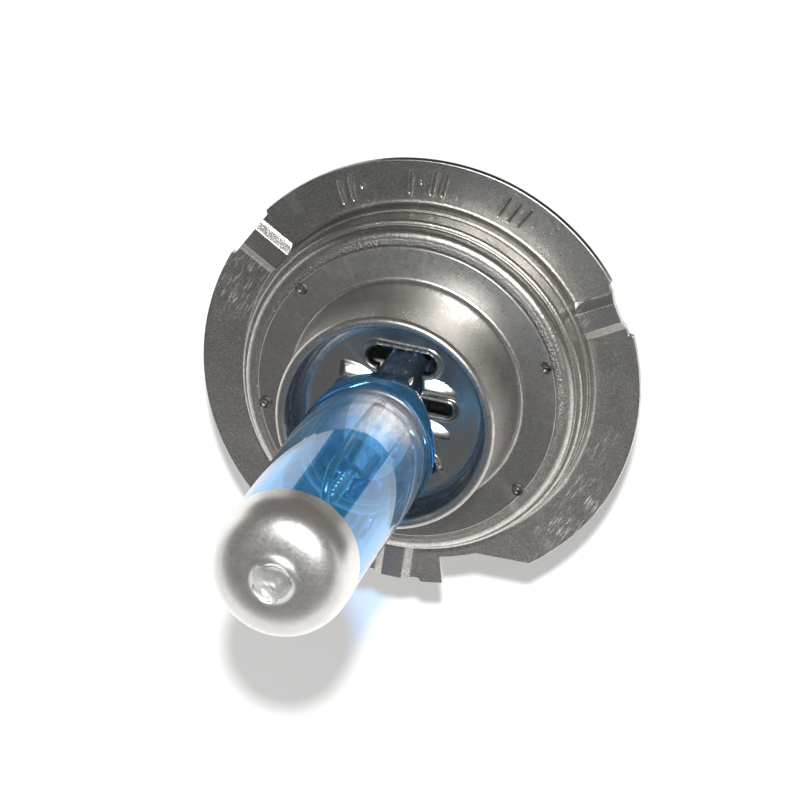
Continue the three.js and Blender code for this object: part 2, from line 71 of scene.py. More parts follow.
SLEEVE_SHEET = 0.35
SLEEVE_FLANGE_RADIUS = 11.2
SLEEVE_FLANGE_Z = 3.68
SLEEVE_FOOT_RADIUS = 8.6
SLEEVE_WALL_RADIUS = 8.14
SLEEVE_MOUTH_RADIUS = 7.3
SLEEVE_TOP_Z = 10.65

CAN_RADIUS = 9.3
CAN_BOTTOM_Z = -6.0
CAN_LIP_RADIUS = 7.55
CAN_FLANGE_Z = 2.32

WELD_AZIMUTHS = (22.6, 144.5, 196.6, 328.3)
WELD_CIRCLE = 10.8
WELD_STEM = 0.28

CLAMP_Z = 7.2
CLAMP_HUB_RADIUS = 1.2
CLAMP_SHEET = 0.5
CLAMP_FLOOR_RADIUS = 7.15
CLAMP_WALL_RADIUS = 7.4
CLAMP_WALL_Z = 9.4
CLAMP_PLAIN_RADIUS = 5.6  # outside this nothing is pressed into the plate
GAP_HALF_WIDTH = 1.6
UPPER_SLOT_Y, UPPER_SLOT_HALF = 3.85, 1.8
LOWER_SLOT_Y, LOWER_SLOT_HALF = -3.95, 2.8
END_SLOT_RADIUS = 0.72
LIP_HEIGHT, LIP_OFFSET, LIP_WIDTH = 0.26, 0.24, 0.18  # the raised rim round the end slots
SIDE_SLOT_Y = 0.75
RIB_OFFSET = 1.6
RIB_START, RIB_END = 1.9, 4.1
RIB_HALF_WIDTH = 0.7
RIB_CREST = 0.6
RIB_FALL = 0.17  # how fast every rib's crest falls along +X
RIB_FACE = 0.41  # slope of the broad face on the +Y side
RIB_CURVE = (0.06, 0.28)  # how the broad face curves along and across the rib
RIB_SIDE = 1.7  # slope of the short faces round it
SIDE_SLOT_END = 3.75
SIDE_SLOT_RADIUS = 0.42

GLASS_RADIUS = 5.0
GLASS_WALL = 1.0
PINCH_HALF_WIDTH = 4.0
PINCH_HALF_THICKNESS = 1.45
PINCH_BOTTOM_Z = 1.6
PINCH_TOP_Z = 9.8
PINCH_EXPONENT = 5  # how square the pinch is in section; 2 is round
SHOULDER_Z = 15.8
CAVITY_FLOOR_Z, CAVITY_FULL_Z = 12.6, 17.6
CAVITY_HALF_X, CAVITY_HALF_Y = 0.7, 3.1
DOME_Z = 38.5
DOME_HEIGHT = 3.8
DOME_EXPONENT = 3.4
FUSED_Z = 14.3  # below this the inside is drawn and uneven
COATING_EDGE_Z = 38.0
COATING_LIFT = 0.02
COATING_THICKNESS = 0.06
COATING_TOP_Z = DOME_Z + DOME_HEIGHT + COATING_LIFT + COATING_THICKNESS
TIP_ROOT_RADIUS = 1.3
FLARE_HEIGHT, FLARE_RADIUS, FLARE_WIDTH = 0.42, 1.2, 0.32
TIP_TOP_Z = 44.0

FILAMENT_Z = 25.0
FILAMENT_LENGTH = 4.1
FILAMENT_TURNS = 14
FILAMENT_TAIL = 0.8
FILAMENT_WIRE = 0.09
COIL_RADIUS = 0.45
LEAD_RADIUS = 0.32
LEAD_Y = 2.4
FOIL_WIDTH = 2.2
FOIL_LOW, FOIL_HIGH = 4.0, 9.5

INSULATOR_RADIUS = 8.9
INSULATOR_TOP_Z = -2.6
INSULATOR_LOW_Z = -5.62
INSULATOR_BOSS_RADIUS = 7.4
INSULATOR_BOSS_Z = -7.4
SLOT_CLEARANCE = 0.06

BLADE_Y = 4.2
BLADE_WIDTH = 6.3
BLADE_THICKNESS = 0.8
BLADE_TIP_Z = -16.0
BLADE_TAB_WIDTH = 3.0
BLADE_TAB_Z = 0.4
BLADE_DETENT_Z = -12.6
BLADE_DETENT_RADIUS = 0.8
BLADE_CHAMFER = (0.8, 1.2)  # across and along
BLADE_EDGE = 0.12

FLOOR_Z = BLADE_TIP_Z - 0.02

# ------------------------------------------------------------------ mesh helpers


def linked(name, data):
    """A new object of the scene."""
    made = bpy.data.objects.new(name, data)
    scene.collection.objects.link(made)
    return made


def mesh_object(name, points, faces):
    """An object from points in millimetres."""
    mesh = bpy.data.meshes.new(name)
    mesh.from_pydata((np.asarray(points, float) * MM).tolist(), [], faces)
    mesh.update()
    return linked(name, mesh)


def as_piece(piece, materials, nodes, sharp_angle):
    """Makes an object a piece, smooth apart from edges over the sharp angle."""
    mesh = piece.data
    mesh.materials.clear()
    for material in materials:
        mesh.materials.append(material)
    mesh.shade_smooth()
    if sharp_angle:
        mesh.set_sharp_from_angle(angle=math.radians(sharp_angle))
    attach(piece, BODY)
    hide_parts(*nodes)
    return piece


def add_piece(name, points, faces, material, nodes, sharp_angle=32, materials=()):
    """One piece from points in millimetres. materials are any that it has besides the first."""
    return as_piece(mesh_object(name, points, faces), (material, *materials), nodes, sharp_angle)


def grid_faces(rows, columns, wrap_rows=False, wrap_columns=True, flip=False):
    """Quads between neighbouring points of a grid stored row by row."""
    last_row = rows if wrap_rows else rows - 1
    last_column = columns if wrap_columns else columns - 1
    faces = []
    for i in range(last_row):
        a, b = i * columns, ((i + 1) % rows) * columns
        for j in range(last_column):
            k = (j + 1) % columns
            faces.append((a + j, a + k, b + k, b + j))
    return [face[::-1] for face in faces] if flip else faces


def rounded(corners, steps=6, closed=False):
    """Points of a polyline of (x, y, fillet radius) corners, each turned with an arc."""
    count = len(corners)
    points = []
    for i, (x, y, radius) in enumerate(corners):
        here = np.array((x, y), float)
        if radius == 0 or (not closed and i in (0, count - 1)):
            points.append(here)
            continue
        before = np.array(corners[i - 1][:2], float) - here
        after = np.array(corners[(i + 1) % count][:2], float) - here
        before /= np.linalg.norm(before)
        after /= np.linalg.norm(after)
        half = math.acos(float(np.clip(before @ after, -1, 1))) / 2
        middle = (before + after) / np.linalg.norm(before + after)
        centre = here + middle * radius / math.sin(half)
        start = here + before * radius / math.tan(half) - centre
        end = here + after * radius / math.tan(half) - centre
        a0 = math.atan2(start[1], start[0])
        a1 = math.atan2(end[1], end[0])
        turn = (a1 - a0 + math.pi) % (2 * math.pi) - math.pi
        for k in range(steps + 1):
            angle = a0 + turn * k / steps
            points.append(centre + radius * np.array((math.cos(angle), math.sin(angle))))
    return np.array(points)


def right_normals(path):
    """Unit vectors to the right of an open path at each of its points."""
    steps = np.diff(path, axis=0)
    steps /= np.linalg.norm(steps, axis=1)[:, None]
    along = np.vstack([steps[:1], steps[:-1] + steps[1:], steps[-1:]])
    along /= np.linalg.norm(along, axis=1)[:, None]
    return np.stack([along[:, 1], -along[:, 0]], axis=1)


def sheet_outline(face, thickness, edge=0.1):
    """The closed outline of a bent sheet from its face path, with rounded cut edges."""
    back = face + right_normals(face) * thickness
    corners = [(*p, 0) for p in face[1:-1]]
    start = [(*back[0], edge), (*face[0], edge)]
    end = [(*face[-1], edge), (*back[-1], edge)]
    middle = [(*p, 0) for p in back[-2:0:-1]]
    return rounded(start + corners + end + middle, steps=3, closed=True)


def revolve(outline, sides, closed=True):
    """Points and quads of a (radius, z) outline turned about Z."""
    angles = np.linspace(0, 2 * math.pi, sides, endpoint=False)
    r, z = np.asarray(outline, float).T
    points = np.stack(
        [np.outer(r, np.cos(angles)), np.outer(r, np.sin(angles)), np.outer(z, np.ones(sides))],
        axis=-1,
    ).reshape(-1, 3)
    following = np.roll(outline, -1, axis=0)
    area = np.sum(outline[:, 0] * following[:, 1] - following[:, 0] * outline[:, 1])
    return points, grid_faces(len(outline), sides, wrap_rows=closed, flip=area < 0)


def revolve_piece(name, outline, sides, material, nodes, wobble):
    points, faces = revolve(np.asarray(outline, float), sides)
    add_piece(name, points + wavy(points, wobble), faces, material, nodes)


def wavy(points, amount, length=5.0):
    """A slow smooth displacement, as on pressed metal that is never quite round."""
    x, y, z = (points / length).T
    dx = np.sin(2.1 * y + 1.3 * z + 0.4) * np.cos(1.7 * x - 0.8)
    dy = np.sin(1.9 * x - 1.1 * z + 1.7) * np.cos(2.3 * y + 0.5)
    dz = np.sin(2.0 * x + 1.6 * y + 2.2)
    return amount * np.stack([dx, dy, dz], axis=1)


def smoothstep(value, low, high):
    t = np.clip((np.asarray(value, float) - low) / (high - low), 0, 1)
    return t * t * (3 - 2 * t)


def smooth_max(a, b, k):
    """The larger of two heights, blended over a distance k."""
    h = np.clip(0.5 + 0.5 * (a - b) / k, 0, 1)
    return b + (a - b) * h + k * h * (1 - h)


def smooth_min(a, b, k):
    return -smooth_max(-a, -b, k)


def catmull(points, per_span=10):
    """A smooth curve through control points."""
    p = np.asarray(points, float)
    p = np.vstack([2 * p[0] - p[1], p, 2 * p[-1] - p[-2]])
    out = []
    for i in range(1, len(p) - 2):
        a, b, c, d = p[i - 1 : i + 3]
        for k in range(per_span):
            t = k / per_span
            square = (2 * a - 5 * b + 4 * c - d) * t**2
            cube = (3 * b - a - 3 * c + d) * t**3
            out.append(0.5 * (2 * b + (c - a) * t + square + cube))
    out.append(p[-2])
    return np.array(out)


def tube(path, radius, sides):
    """A closed tube along a path."""
    path = np.asarray(path, float)
    tangent = np.gradient(path, axis=0)
    tangent /= np.linalg.norm(tangent, axis=1)[:, None]
    side = np.array([1.0, 0, 0]) - tangent * tangent[:, :1]
    side /= np.linalg.norm(side, axis=1)[:, None]
    up = np.cross(tangent, side)
    angles = np.linspace(0, 2 * math.pi, sides, endpoint=False)
    rings = (
        path[:, None, :]
        + radius * np.cos(angles)[None, :, None] * side[:, None, :]
        + radius * np.sin(angles)[None, :, None] * up[:, None, :]
    )
    return loft(rings)


def loft(rings):
    """A closed skin over rings of the same number of points."""
    sides = len(rings[0])
    faces = grid_faces(len(rings), sides)
    faces.append(tuple(range(sides))[::-1])
    faces.append(tuple(range((len(rings) - 1) * sides, len(rings) * sides)))
    return np.vstack(rings), faces


# ------------------------------------------------------------------ material helpers

# Where a lamp holder's spring has rubbed the flange, and the azimuth that the scuffs run along.
RUBBED = ((-14.3, 3.4), (-14.0, 4.6), (13.4, -7.2), (12.0, -9.3))
SCUFF_AZIMUTH = 65
QUARTZ_IOR = 1.46


class Tree:
    """A short way to write a node tree."""

    def __init__(self, owner):
        owner.use_nodes = True
        self.nodes = owner.node_tree.nodes
        self.links = owner.node_tree.links

    def put(self, socket, value):
        """Links a socket to another, or gives it a constant."""
        if isinstance(value, bpy.types.NodeSocket):
            self.links.new(value, socket)
        else:
            socket.default_value = value

    def node(self, kind, inputs, **settings):
        """A new node's outputs."""
        made = self.nodes.new(kind)
        for key, value in settings.items():
            setattr(made, key, value)
        for key, value in inputs.items():
            self.put(made.inputs[key], value)
        return made.outputs

    def math(self, operation, a, b=0.0, c=0.0):
        return self.node("ShaderNodeMath", {0: a, 1: b, 2: c}, operation=operation)[0]

    def remap(self, value, low, high, to_low=0.0, to_high=1.0, **settings):
        """A value moved from one range to another and kept inside it."""
        inputs = {0: value, 1: low, 2: high, 3: to_low, 4: to_high}
        return self.node("ShaderNodeMapRange", inputs, **settings)[0]


class Nodes(Tree):
    """A new material's node tree."""

    def __init__(self, name):
        self.material = bpy.data.materials.new(name)
        super().__init__(self.material)
        self.shader = self.nodes["Principled BSDF"]

    def surface(self, values):
        """Settings of the material's shader."""
        for key, value in values.items():
            self.put(self.shader.inputs[key], value)

    def noise(self, vector, scale, detail, roughness):
        inputs = {"Vector": vector, "Scale": scale, "Detail": detail, "Roughness": roughness}
        return self.node("ShaderNodeTexNoise", inputs)["Fac"]

    def bump(self, height, strength, distance):
        inputs = {"Height": height, "Strength": strength, "Distance": distance}
        return self.node("ShaderNodeBump", inputs)[0]

    def mix_colour(self, factor, a, b, blend="MIX"):
        inputs = {0: factor, 6: a, 7: b}
        return self.node("ShaderNodeMix", inputs, data_type="RGBA", blend_type=blend)[2]

    def place(self):
        """The point in millimetres, the radius and angle about Z, and the height."""
        coords = self.node("ShaderNodeTexCoord", {})["Object"]
        scale = (1 / MM, 1 / MM, 1 / MM)
        point = self.node("ShaderNodeVectorMath", {0: coords, 1: scale}, operation="MULTIPLY")[0]
        x, y, z = self.node("ShaderNodeSeparateXYZ", {0: point})
        squares = self.math("ADD", self.math("MULTIPLY", x, x), self.math("MULTIPLY", y, y))
        radius = self.math("SQRT", squares)
        angle = self.math("ARCTAN2", y, x)
        return point, radius, angle, z

    def pointiness(self):
        return self.node("ShaderNodeNewGeometry", {})["Pointiness"]


def rgb(r, g, b):
    return (r, g, b, 1.0)


def shaded(colour, share):
    """A colour made darker or lighter."""
    return rgb(*(min(1.0, c * share) for c in colour))


def metal(
    name, colour, roughness, grain=0.5, relief=1.0, turned=0.0, stain=0.35, scuff=0.25, wear=0.35,
    coarse_shade_bands=(), rubbed=(), painted_shade_side=None,
):
    """Satin plated steel: mottled tone, fine grain, lines turned round the axis, scuffs, worn edges,
    painted shade in creases.

    The bands argument lists (inner radius, outer radius, lowest z) of zones with a rougher, bumpier
    finish, whose colour is also darkened as painted shade.
    rubbed are points (x, y) round which the scuffs gather.
    The side argument is the azimuth where the colour is painted darkest, as painted shade; the opposite
    side is painted lighter, as painted light.
    """
    n = Nodes(name)
    point, radius, angle, z = n.place()

    mottle = n.noise(point, 0.3, 5.0, 0.65)
    blotch = n.noise(point, 1.3, 4.0, 0.65)
    speck = n.noise(point, 4.2, 4.0, 0.75)
    fine = n.noise(point, 8.0, 3.0, 0.8)
    grit = n.noise(point, 15.0, 2.0, 0.6)

    # Fine lines left by drawing and turning run round the axis.
    ring_place = n.node("ShaderNodeCombineXYZ", {0: radius, 1: z, 2: n.math("MULTIPLY", angle, 0.6)})[0]
    rings = n.noise(ring_place, 9.0, 3.0, 0.7)

    # Scuffs are short streaks that show only in a few patches.
    turn = (0, 0, math.radians(SCUFF_AZIMUTH - 90))
    inputs = {"Vector": point, "Rotation": turn, "Scale": (0.13, 1.5, 0.3)}
    streak_place = n.node("ShaderNodeMapping", inputs, vector_type="TEXTURE")[0]
    streaks = n.noise(streak_place, 1.0, 3.0, 0.7)
    patch = n.remap(n.noise(point, 0.2, 2.0, 0.5), 0.6, 0.75, 0.0, 0.7)
    for x, y in rubbed:
        ends = {0: point, 1: (x, y, FLANGE_Z)}
        away = n.node("ShaderNodeVectorMath", ends, operation="DISTANCE")["Value"]
        patch = n.math("MAXIMUM", patch, n.remap(away, 2.8, 0.6))
    scuffs = n.math("MULTIPLY", n.math("MULTIPLY", n.remap(streaks, 0.54, 0.66), patch), scuff)

    coarse_and_shade = 0.0
    for inner, outer, lowest in coarse_shade_bands:
        past_inner = n.remap(radius, inner - 0.08, inner + 0.08)
        inside = n.math("MULTIPLY", past_inner, n.remap(radius, outer + 0.08, outer - 0.08))
        inside = n.math("MULTIPLY", inside, n.remap(z, lowest - 0.1, lowest + 0.1))
        coarse_and_shade = n.math("MAXIMUM", coarse_and_shade, inside)

    pointiness = n.pointiness()
    edge = n.remap(pointiness, 0.51, 0.6)
    # Concave creases are darkened: painted shade.
    crease_shade = n.remap(pointiness, 0.49, 0.42)

    dark = shaded(colour, 0.55)
    light = shaded(colour, 1.45)
    layers = [
        (n.remap(mottle, 0.3, 0.7, 0.0, stain), dark),
        (n.remap(blotch, 0.35, 0.75, 0.0, 0.6 * stain), dark),
        (n.remap(speck, 0.45, 0.7, 0.0, 0.8 * grain), dark),
        (n.remap(fine, 0.5, 0.7, 0.0, grain), dark),
        (n.remap(fine, 0.45, 0.3, 0.0, grain), light),
        # painted shade in the listed bands
        (n.math("MULTIPLY", coarse_and_shade, 0.75), shaded(colour, 0.3)),
        # painted shade in the creases
        (n.math("MULTIPLY", crease_shade, 0.6), dark),
        (scuffs, shaded(colour, 1.7)),
        (n.math("MULTIPLY", edge, wear), light),
    ]
    tone = shaded(colour, 1)
    for share, paint in layers:
        tone = n.mix_colour(share, tone, paint)
    # Painted shade on one side and painted light on the other, multiplied into the colour.
    if painted_shade_side is not None:
        facing = n.math("COSINE", n.math("SUBTRACT", angle, math.radians(painted_shade_side)))
        side_light_and_shade = n.remap(facing, -1, 1, 1.3, 0.72)
        shade = n.node("ShaderNodeCombineColor", {0: side_light_and_shade, 1: side_light_and_shade, 2: side_light_and_shade})[0]
        tone = n.mix_colour(1.0, tone, shade, "MULTIPLY")

    rough = n.remap(mottle, 0.25, 0.75, roughness - 0.05, roughness + 0.05)
    rough = n.math("ADD", rough, n.remap(speck, 0.3, 0.7, -0.05, 0.07))
    rough = n.math("MULTIPLY_ADD", scuffs, 0.15, rough)
    rough = n.math("MULTIPLY_ADD", coarse_and_shade, 0.04, rough)

    height = n.math("MULTIPLY", speck, 1.4 * grain * relief)
    height = n.math("MULTIPLY_ADD", n.math("MULTIPLY", speck, coarse_and_shade), 1.5, height)
    height = n.math("MULTIPLY_ADD", grit, 0.5 * grain * relief, height)
    height = n.math("MULTIPLY_ADD", rings, turned, height)
    height = n.math("MULTIPLY_ADD", scuffs, -0.3, height)
    normal = n.bump(height, 0.5, 0.06 * MM)
    n.surface({"Base Color": tone, "Roughness": rough, "Normal": normal, "Metallic": 1.0})
    return n.material


def glass(name, shadow_colour, film=None, roughness=0.0, milk=0.0):
    """Quartz, with an optional tinted film or a share of milkiness. Lamps reach what is behind it.

    film sets the tint and returns where the film is left off, with whitish glass there as a painted
    highlight; its shadow follows that.
    """
    n = Nodes(name)
    n.surface({"Transmission Weight": 1.0 - milk, "IOR": QUARTZ_IOR, "Roughness": roughness})
    n.surface({"Base Color": rgb(1, 1, 1)})
    shadow = rgb(*shadow_colour)
    if film:
        shadow = n.mix_colour(film(n), shadow, rgb(0.96, 0.96, 0.97))
    clear = n.node("ShaderNodeBsdfTransparent", {"Color": shadow})[0]
    lamp_ray = n.node("ShaderNodeLightPath", {})["Is Shadow Ray"]
    mix = n.node("ShaderNodeMixShader", {0: lamp_ray, 1: n.shader.outputs[0], 2: clear})[0]
    n.put(n.nodes["Material Output"].inputs["Surface"], mix)
    return n.material


# ------------------------------------------------------------------ materials

# The listed bands are also darkened as painted shade: the ring plate by the collar, the inside of the
# sleeve's mouth, the upper clamp wall.
STAMPED = metal(
    "stamped_steel", (0.59, 0.57, 0.54), 0.31, grain=1.0, relief=0.6, turned=0.15, scuff=1.1,
    coarse_shade_bands=[(11.2, 11.65, 3.2)], rubbed=RUBBED, painted_shade_side=107,
)
SLEEVE = metal(
    "sleeve_steel", (0.57, 0.56, 0.54), 0.3, grain=0.55, relief=0.3, turned=0.25, scuff=0.1,
    coarse_shade_bands=[(0, 7.5, -20)],
)
SPRING = metal(
    "spring_steel", (0.62, 0.62, 0.61), 0.2, grain=0.25, relief=0.5, stain=0.4, scuff=0.2,
    coarse_shade_bands=[(6.5, 8, 8.3)],
)
MOLYBDENUM = metal("molybdenum", (0.55, 0.56, 0.58), 0.3, grain=0.3, scuff=0.0)
TUNGSTEN = metal("tungsten", (0.72, 0.72, 0.72), 0.3, grain=0.2, scuff=0.0)
BLADE = metal("blade_metal", (0.66, 0.63, 0.57), 0.26, grain=0.3, scuff=0.5)
SILVER = metal("silver_coating", (0.82, 0.81, 0.79), 0.35, grain=0.14, stain=0.12, scuff=0.0, wear=0.0)


def weld_material():
    """Melted steel with a dark oxide ring."""
    n = Nodes("weld_steel")
    point, _, _, _ = n.place()
    mottle = n.noise(point, 3.0, 4.0, 0.7)
    tone = n.mix_colour(n.remap(mottle, 0.35, 0.65), rgb(0.06, 0.052, 0.043), rgb(0.3, 0.28, 0.25))
    rough = n.remap(mottle, 0.3, 0.7, 0.25, 0.5)
    normal = n.bump(mottle, 0.5, 0.1 * MM)
    n.surface({"Base Color": tone, "Roughness": rough, "Normal": normal, "Metallic": 1.0})
    return n.material


WELD = weld_material()


def ceramic_material():
    """Unglazed steatite: warm off-white, faint speckle, painted shade in the corners."""
    n = Nodes("ceramic")
    point, _, _, _ = n.place()
    speck = n.noise(point, 6.0, 4.0, 0.7)
    mottle = n.noise(point, 0.5, 4.0, 0.6)
    tone = n.mix_colour(n.remap(mottle, 0.3, 0.7), rgb(0.80, 0.76, 0.68), rgb(0.70, 0.65, 0.56))
    tone = n.mix_colour(n.remap(speck, 0.6, 0.75, 0.0, 0.5), tone, rgb(0.42, 0.37, 0.31))
    # Corners and creases are darkened: painted shade.
    tone = n.mix_colour(n.remap(n.pointiness(), 0.49, 0.4, 0.0, 0.6), tone, rgb(0.36, 0.32, 0.27))
    rough = n.remap(speck, 0.3, 0.7, 0.5, 0.7)
    n.surface({"Base Color": tone, "Roughness": rough, "Normal": n.bump(speck, 0.4, 0.08 * MM)})
    return n.material


CERAMIC = ceramic_material()


# Where the filter film is left off and the glass is painted whitish, a painted highlight on the side
# facing the camera and flash: an azimuth, its half width (radians), and two heights.
BARE_HIGHLIGHT_AZIMUTH = math.radians(64.5)
BARE_HIGHLIGHT_HALF_WIDTH = 0.62
BARE_HIGHLIGHT_LOW_Z, BARE_HIGHLIGHT_HIGH_Z = 16.8, 21.5


def blue_film(n):
    """The filter film, uneven all over, left off in streaks on one side near the pinch, where the whitish
    glass is a painted highlight.
    """
    point, _, angle, z = n.place()
    around = n.math("MULTIPLY", angle, GLASS_RADIUS)
    stretched = n.node("ShaderNodeCombineXYZ", {0: around, 1: n.math("MULTIPLY", z, 0.16)})[0]
    streaks = n.noise(stretched, 2.4, 4.0, 0.7)
    uneven = n.noise(point, 0.35, 3.0, 0.6)
    away = n.math("ABSOLUTE", n.math("SUBTRACT", angle, BARE_HIGHLIGHT_AZIMUTH))
    ragged = n.math("MULTIPLY_ADD", streaks, 0.4, away)
    across = n.remap(ragged, BARE_HIGHLIGHT_HALF_WIDTH + 0.3, BARE_HIGHLIGHT_HALF_WIDTH - 0.05)
    ragged = n.math("MULTIPLY_ADD", streaks, 5.0, z)
    upper = n.remap(ragged, BARE_HIGHLIGHT_HIGH_Z + 3.8, BARE_HIGHLIGHT_HIGH_Z + 1.2)
    lower = n.remap(z, BARE_HIGHLIGHT_LOW_Z - 0.6, BARE_HIGHLIGHT_LOW_Z + 0.8)
    bare_highlight = n.math("MULTIPLY", n.math("MULTIPLY", across, upper), lower)
    bare_highlight = n.math("MULTIPLY", bare_highlight, n.remap(streaks, 0.3, 0.55, 0.55, 1.0))
    tone = n.mix_colour(n.remap(uneven, 0.3, 0.7), rgb(0.07, 0.37, 0.76), rgb(0.13, 0.49, 0.90))
    tone = n.mix_colour(n.remap(z, 14.0, 11.5), tone, rgb(0.30, 0.40, 0.50))
    # The glass where the film is left off is whitish: a painted highlight. Lamp light passes there too.
    n.surface({"Base Color": n.mix_colour(bare_highlight, tone, rgb(0.95, 0.94, 0.96))})
    return bare_highlight


def fused_streaks(n):
    """The drawn, uneven glass where the tube was pressed flat."""
    point, _, _, _ = n.place()
    stretched = n.node("ShaderNodeMapping", {"Vector": point, "Scale": (3.0, 1.2, 0.5)})[0]
    streaks = n.noise(stretched, 1.2, 4.0, 0.7)
    tone = n.mix_colour(n.remap(streaks, 0.4, 0.6), rgb(0.98, 0.96, 0.98), rgb(0.62, 0.68, 0.76))
    n.surface({"Base Color": tone, "Normal": n.bump(streaks, 0.6, 0.3 * MM)})
    return 0.0


BLUE_GLASS = glass("blue_glass", (0.45, 0.68, 0.97), film=blue_film, milk=0.12)
INNER_GLASS = glass("inner_glass", (0.98, 0.98, 0.98))
FUSED_GLASS = glass("fused_glass", (0.9, 0.9, 0.9), film=fused_streaks, roughness=0.2, milk=0.7)
CLEAR_GLASS = glass("clear_glass", (0.9, 0.92, 0.93), milk=0.04)

# ------------------------------------------------------------------ flange ring


def ray(azimuth):
    """The unit vector at an azimuth in degrees."""
    angle = math.radians(azimuth)
    return np.array([math.cos(angle), math.sin(angle)])


def boss_offset(azimuth):
    """Degrees from the nearest boss, signed."""
    offsets = [(azimuth - b + 180) % 360 - 180 for b in BOSS_AZIMUTHS]
    return min(offsets, key=abs)


def rim_radius(azimuth):
    """Outer radius of the flange: round, cut straight across each boss, recessed at the key."""
    across = FLANGE_RADIUS * math.sin(math.radians(boss_offset(azimuth)))
    away = abs(across)
    notch_end = NOTCH_HALF + 0.2
    if away < notch_end:
        chord = NOTCH_RADIUS / math.cos(math.radians(boss_offset(azimuth)))
        return chord + (FLANGE_RADIUS - chord) * float(smoothstep(away, NOTCH_HALF, notch_end))
    if KEY_START < azimuth < KEY_CORNER:
        if azimuth <= KEY_END:
            return KEY_RADIUS
        start = KEY_RADIUS * ray(KEY_END)
        edge = FLANGE_RADIUS * ray(KEY_CORNER) - start
        return cross2(start, edge) / cross2(ray(azimuth), edge)
    return FLANGE_RADIUS


def cross2(a, b):
    return a[0] * b[1] - a[1] * b[0]


# Distances from a boss's middle line of the columns that follow its top, its slope and the notch.
BOSS_COLUMNS = (
    0.3, 0.6, 0.7, 0.73, 0.76, 0.8, 0.85, 1.1, 1.3, 1.55, 1.6, 1.64, 1.67, 1.71, 1.8,
    *(1.95, 2.0, 2.05, 2.1, 2.15, 2.2),
)


def ring_columns():
    """Rim azimuths of the ring's columns, closer together where the rim has a feature."""
    columns = set(np.round(np.arange(0, 360, 0.9), 3))
    for azimuth in BOSS_AZIMUTHS:
        for away in BOSS_COLUMNS:
            for side in (-1, 1):
                columns.add(round(azimuth + side * math.degrees(math.asin(away / FLANGE_RADIUS)), 3))
    for azimuth, _ in stamp_places():
        columns.update(np.round(np.arange(azimuth - 1.0, azimuth + 1.0, 0.16), 3))
    for azimuth in (KEY_START, KEY_END, KEY_CORNER):
        for away in (0.012, 0.05, 0.2, 0.4):
            columns.update((round(azimuth - away, 3), round(azimuth + away, 3)))
    columns = sorted(c % 360 for c in columns)
    kept = [columns[0]]
    for c in columns[1:]:
        if c - kept[-1] > 0.01:
            kept.append(c)
    return np.array(kept)


def boss_height(across):
    """Height share of a boss at a distance from its middle line: flat top, sloped sides."""
    t = (BOSS_FOOT_HALF - abs(across)) / (BOSS_FOOT_HALF - BOSS_TOP_HALF)
    return float(smooth_max(smooth_min(t, 1.0, 0.05), 0.0, 0.05))


# Plain tally bars and dots stand where the maker's text was stamped: (azimuth of the group, its marks).
STAMP_GROUPS = ((118.0, "bb."), (95.5, "b.bb"), (67.5, "bbb."))
STAMP_PITCH = 3.3
STAMP_RADIUS = 14.8
STAMP_HALF_LENGTH = 0.82
DOT_HALF_LENGTH = 0.05
STAMP_HALF_WIDTH = 0.11
STAMP_DEPTH = 0.075
STAMP_SLANT = 0.12
BURR_HEIGHT, BURR_OFFSET, BURR_WIDTH = 0.02, 0.17, 0.05


def stamp_places():
    """(azimuth, half length) of every stamped mark."""
    for middle, marks in STAMP_GROUPS:
        for i, mark in enumerate(marks):
            azimuth = middle - STAMP_PITCH * (i - (len(marks) - 1) / 2)
            yield azimuth, STAMP_HALF_LENGTH if mark == "b" else DOT_HALF_LENGTH


def stamp_height(x, y):
    """Depth below the flange of the stamped marks, with a faint raised burr round each."""
    height = np.zeros_like(x)
    for azimuth, half in stamp_places():
        c, s = ray(azimuth)
        along = x * c + y * s - STAMP_RADIUS
        across = y * c - x * s + STAMP_SLANT * along
        distance = np.hypot(along - np.clip(along, -half, half), across)
        height -= STAMP_DEPTH * (1 - smoothstep(distance, 0.0, STAMP_HALF_WIDTH))
        height += BURR_HEIGHT * np.exp(-(((distance - BURR_OFFSET) / BURR_WIDTH) ** 2))
    return height


def collar_section(inset, rows):
    """Section of the plate, stepped collar and flat, `inset` inside the outer face."""
    corners = [
        (PLATE_HOLE, PLATE_Z - inset, 0),
        (COLLAR_RADIUS - inset, PLATE_Z - inset, 0.6),
        (COLLAR_RADIUS - inset, LEDGE_Z - inset, 0.12),
        (LEDGE_RADIUS - inset, LEDGE_Z - inset, 0.3),
        (LEDGE_RADIUS - inset, STEP_Z - inset, 0.1),
        (STEP_RADIUS - inset, STEP_Z - inset, 0.09),
        (FOOT_RADIUS - inset, FLANGE_Z - inset, 0.4),
        (FLANGE_RADIUS, FLANGE_Z - inset, 0),
    ]
    wall = rounded(corners, steps=5)
    radii = np.linspace(FLAT_START, FLANGE_RADIUS, rows)
    flat = np.stack([radii, np.full(rows, FLANGE_Z - inset)], axis=1)
    return np.vstack([wall[wall[:, 0] < FLAT_START], flat])


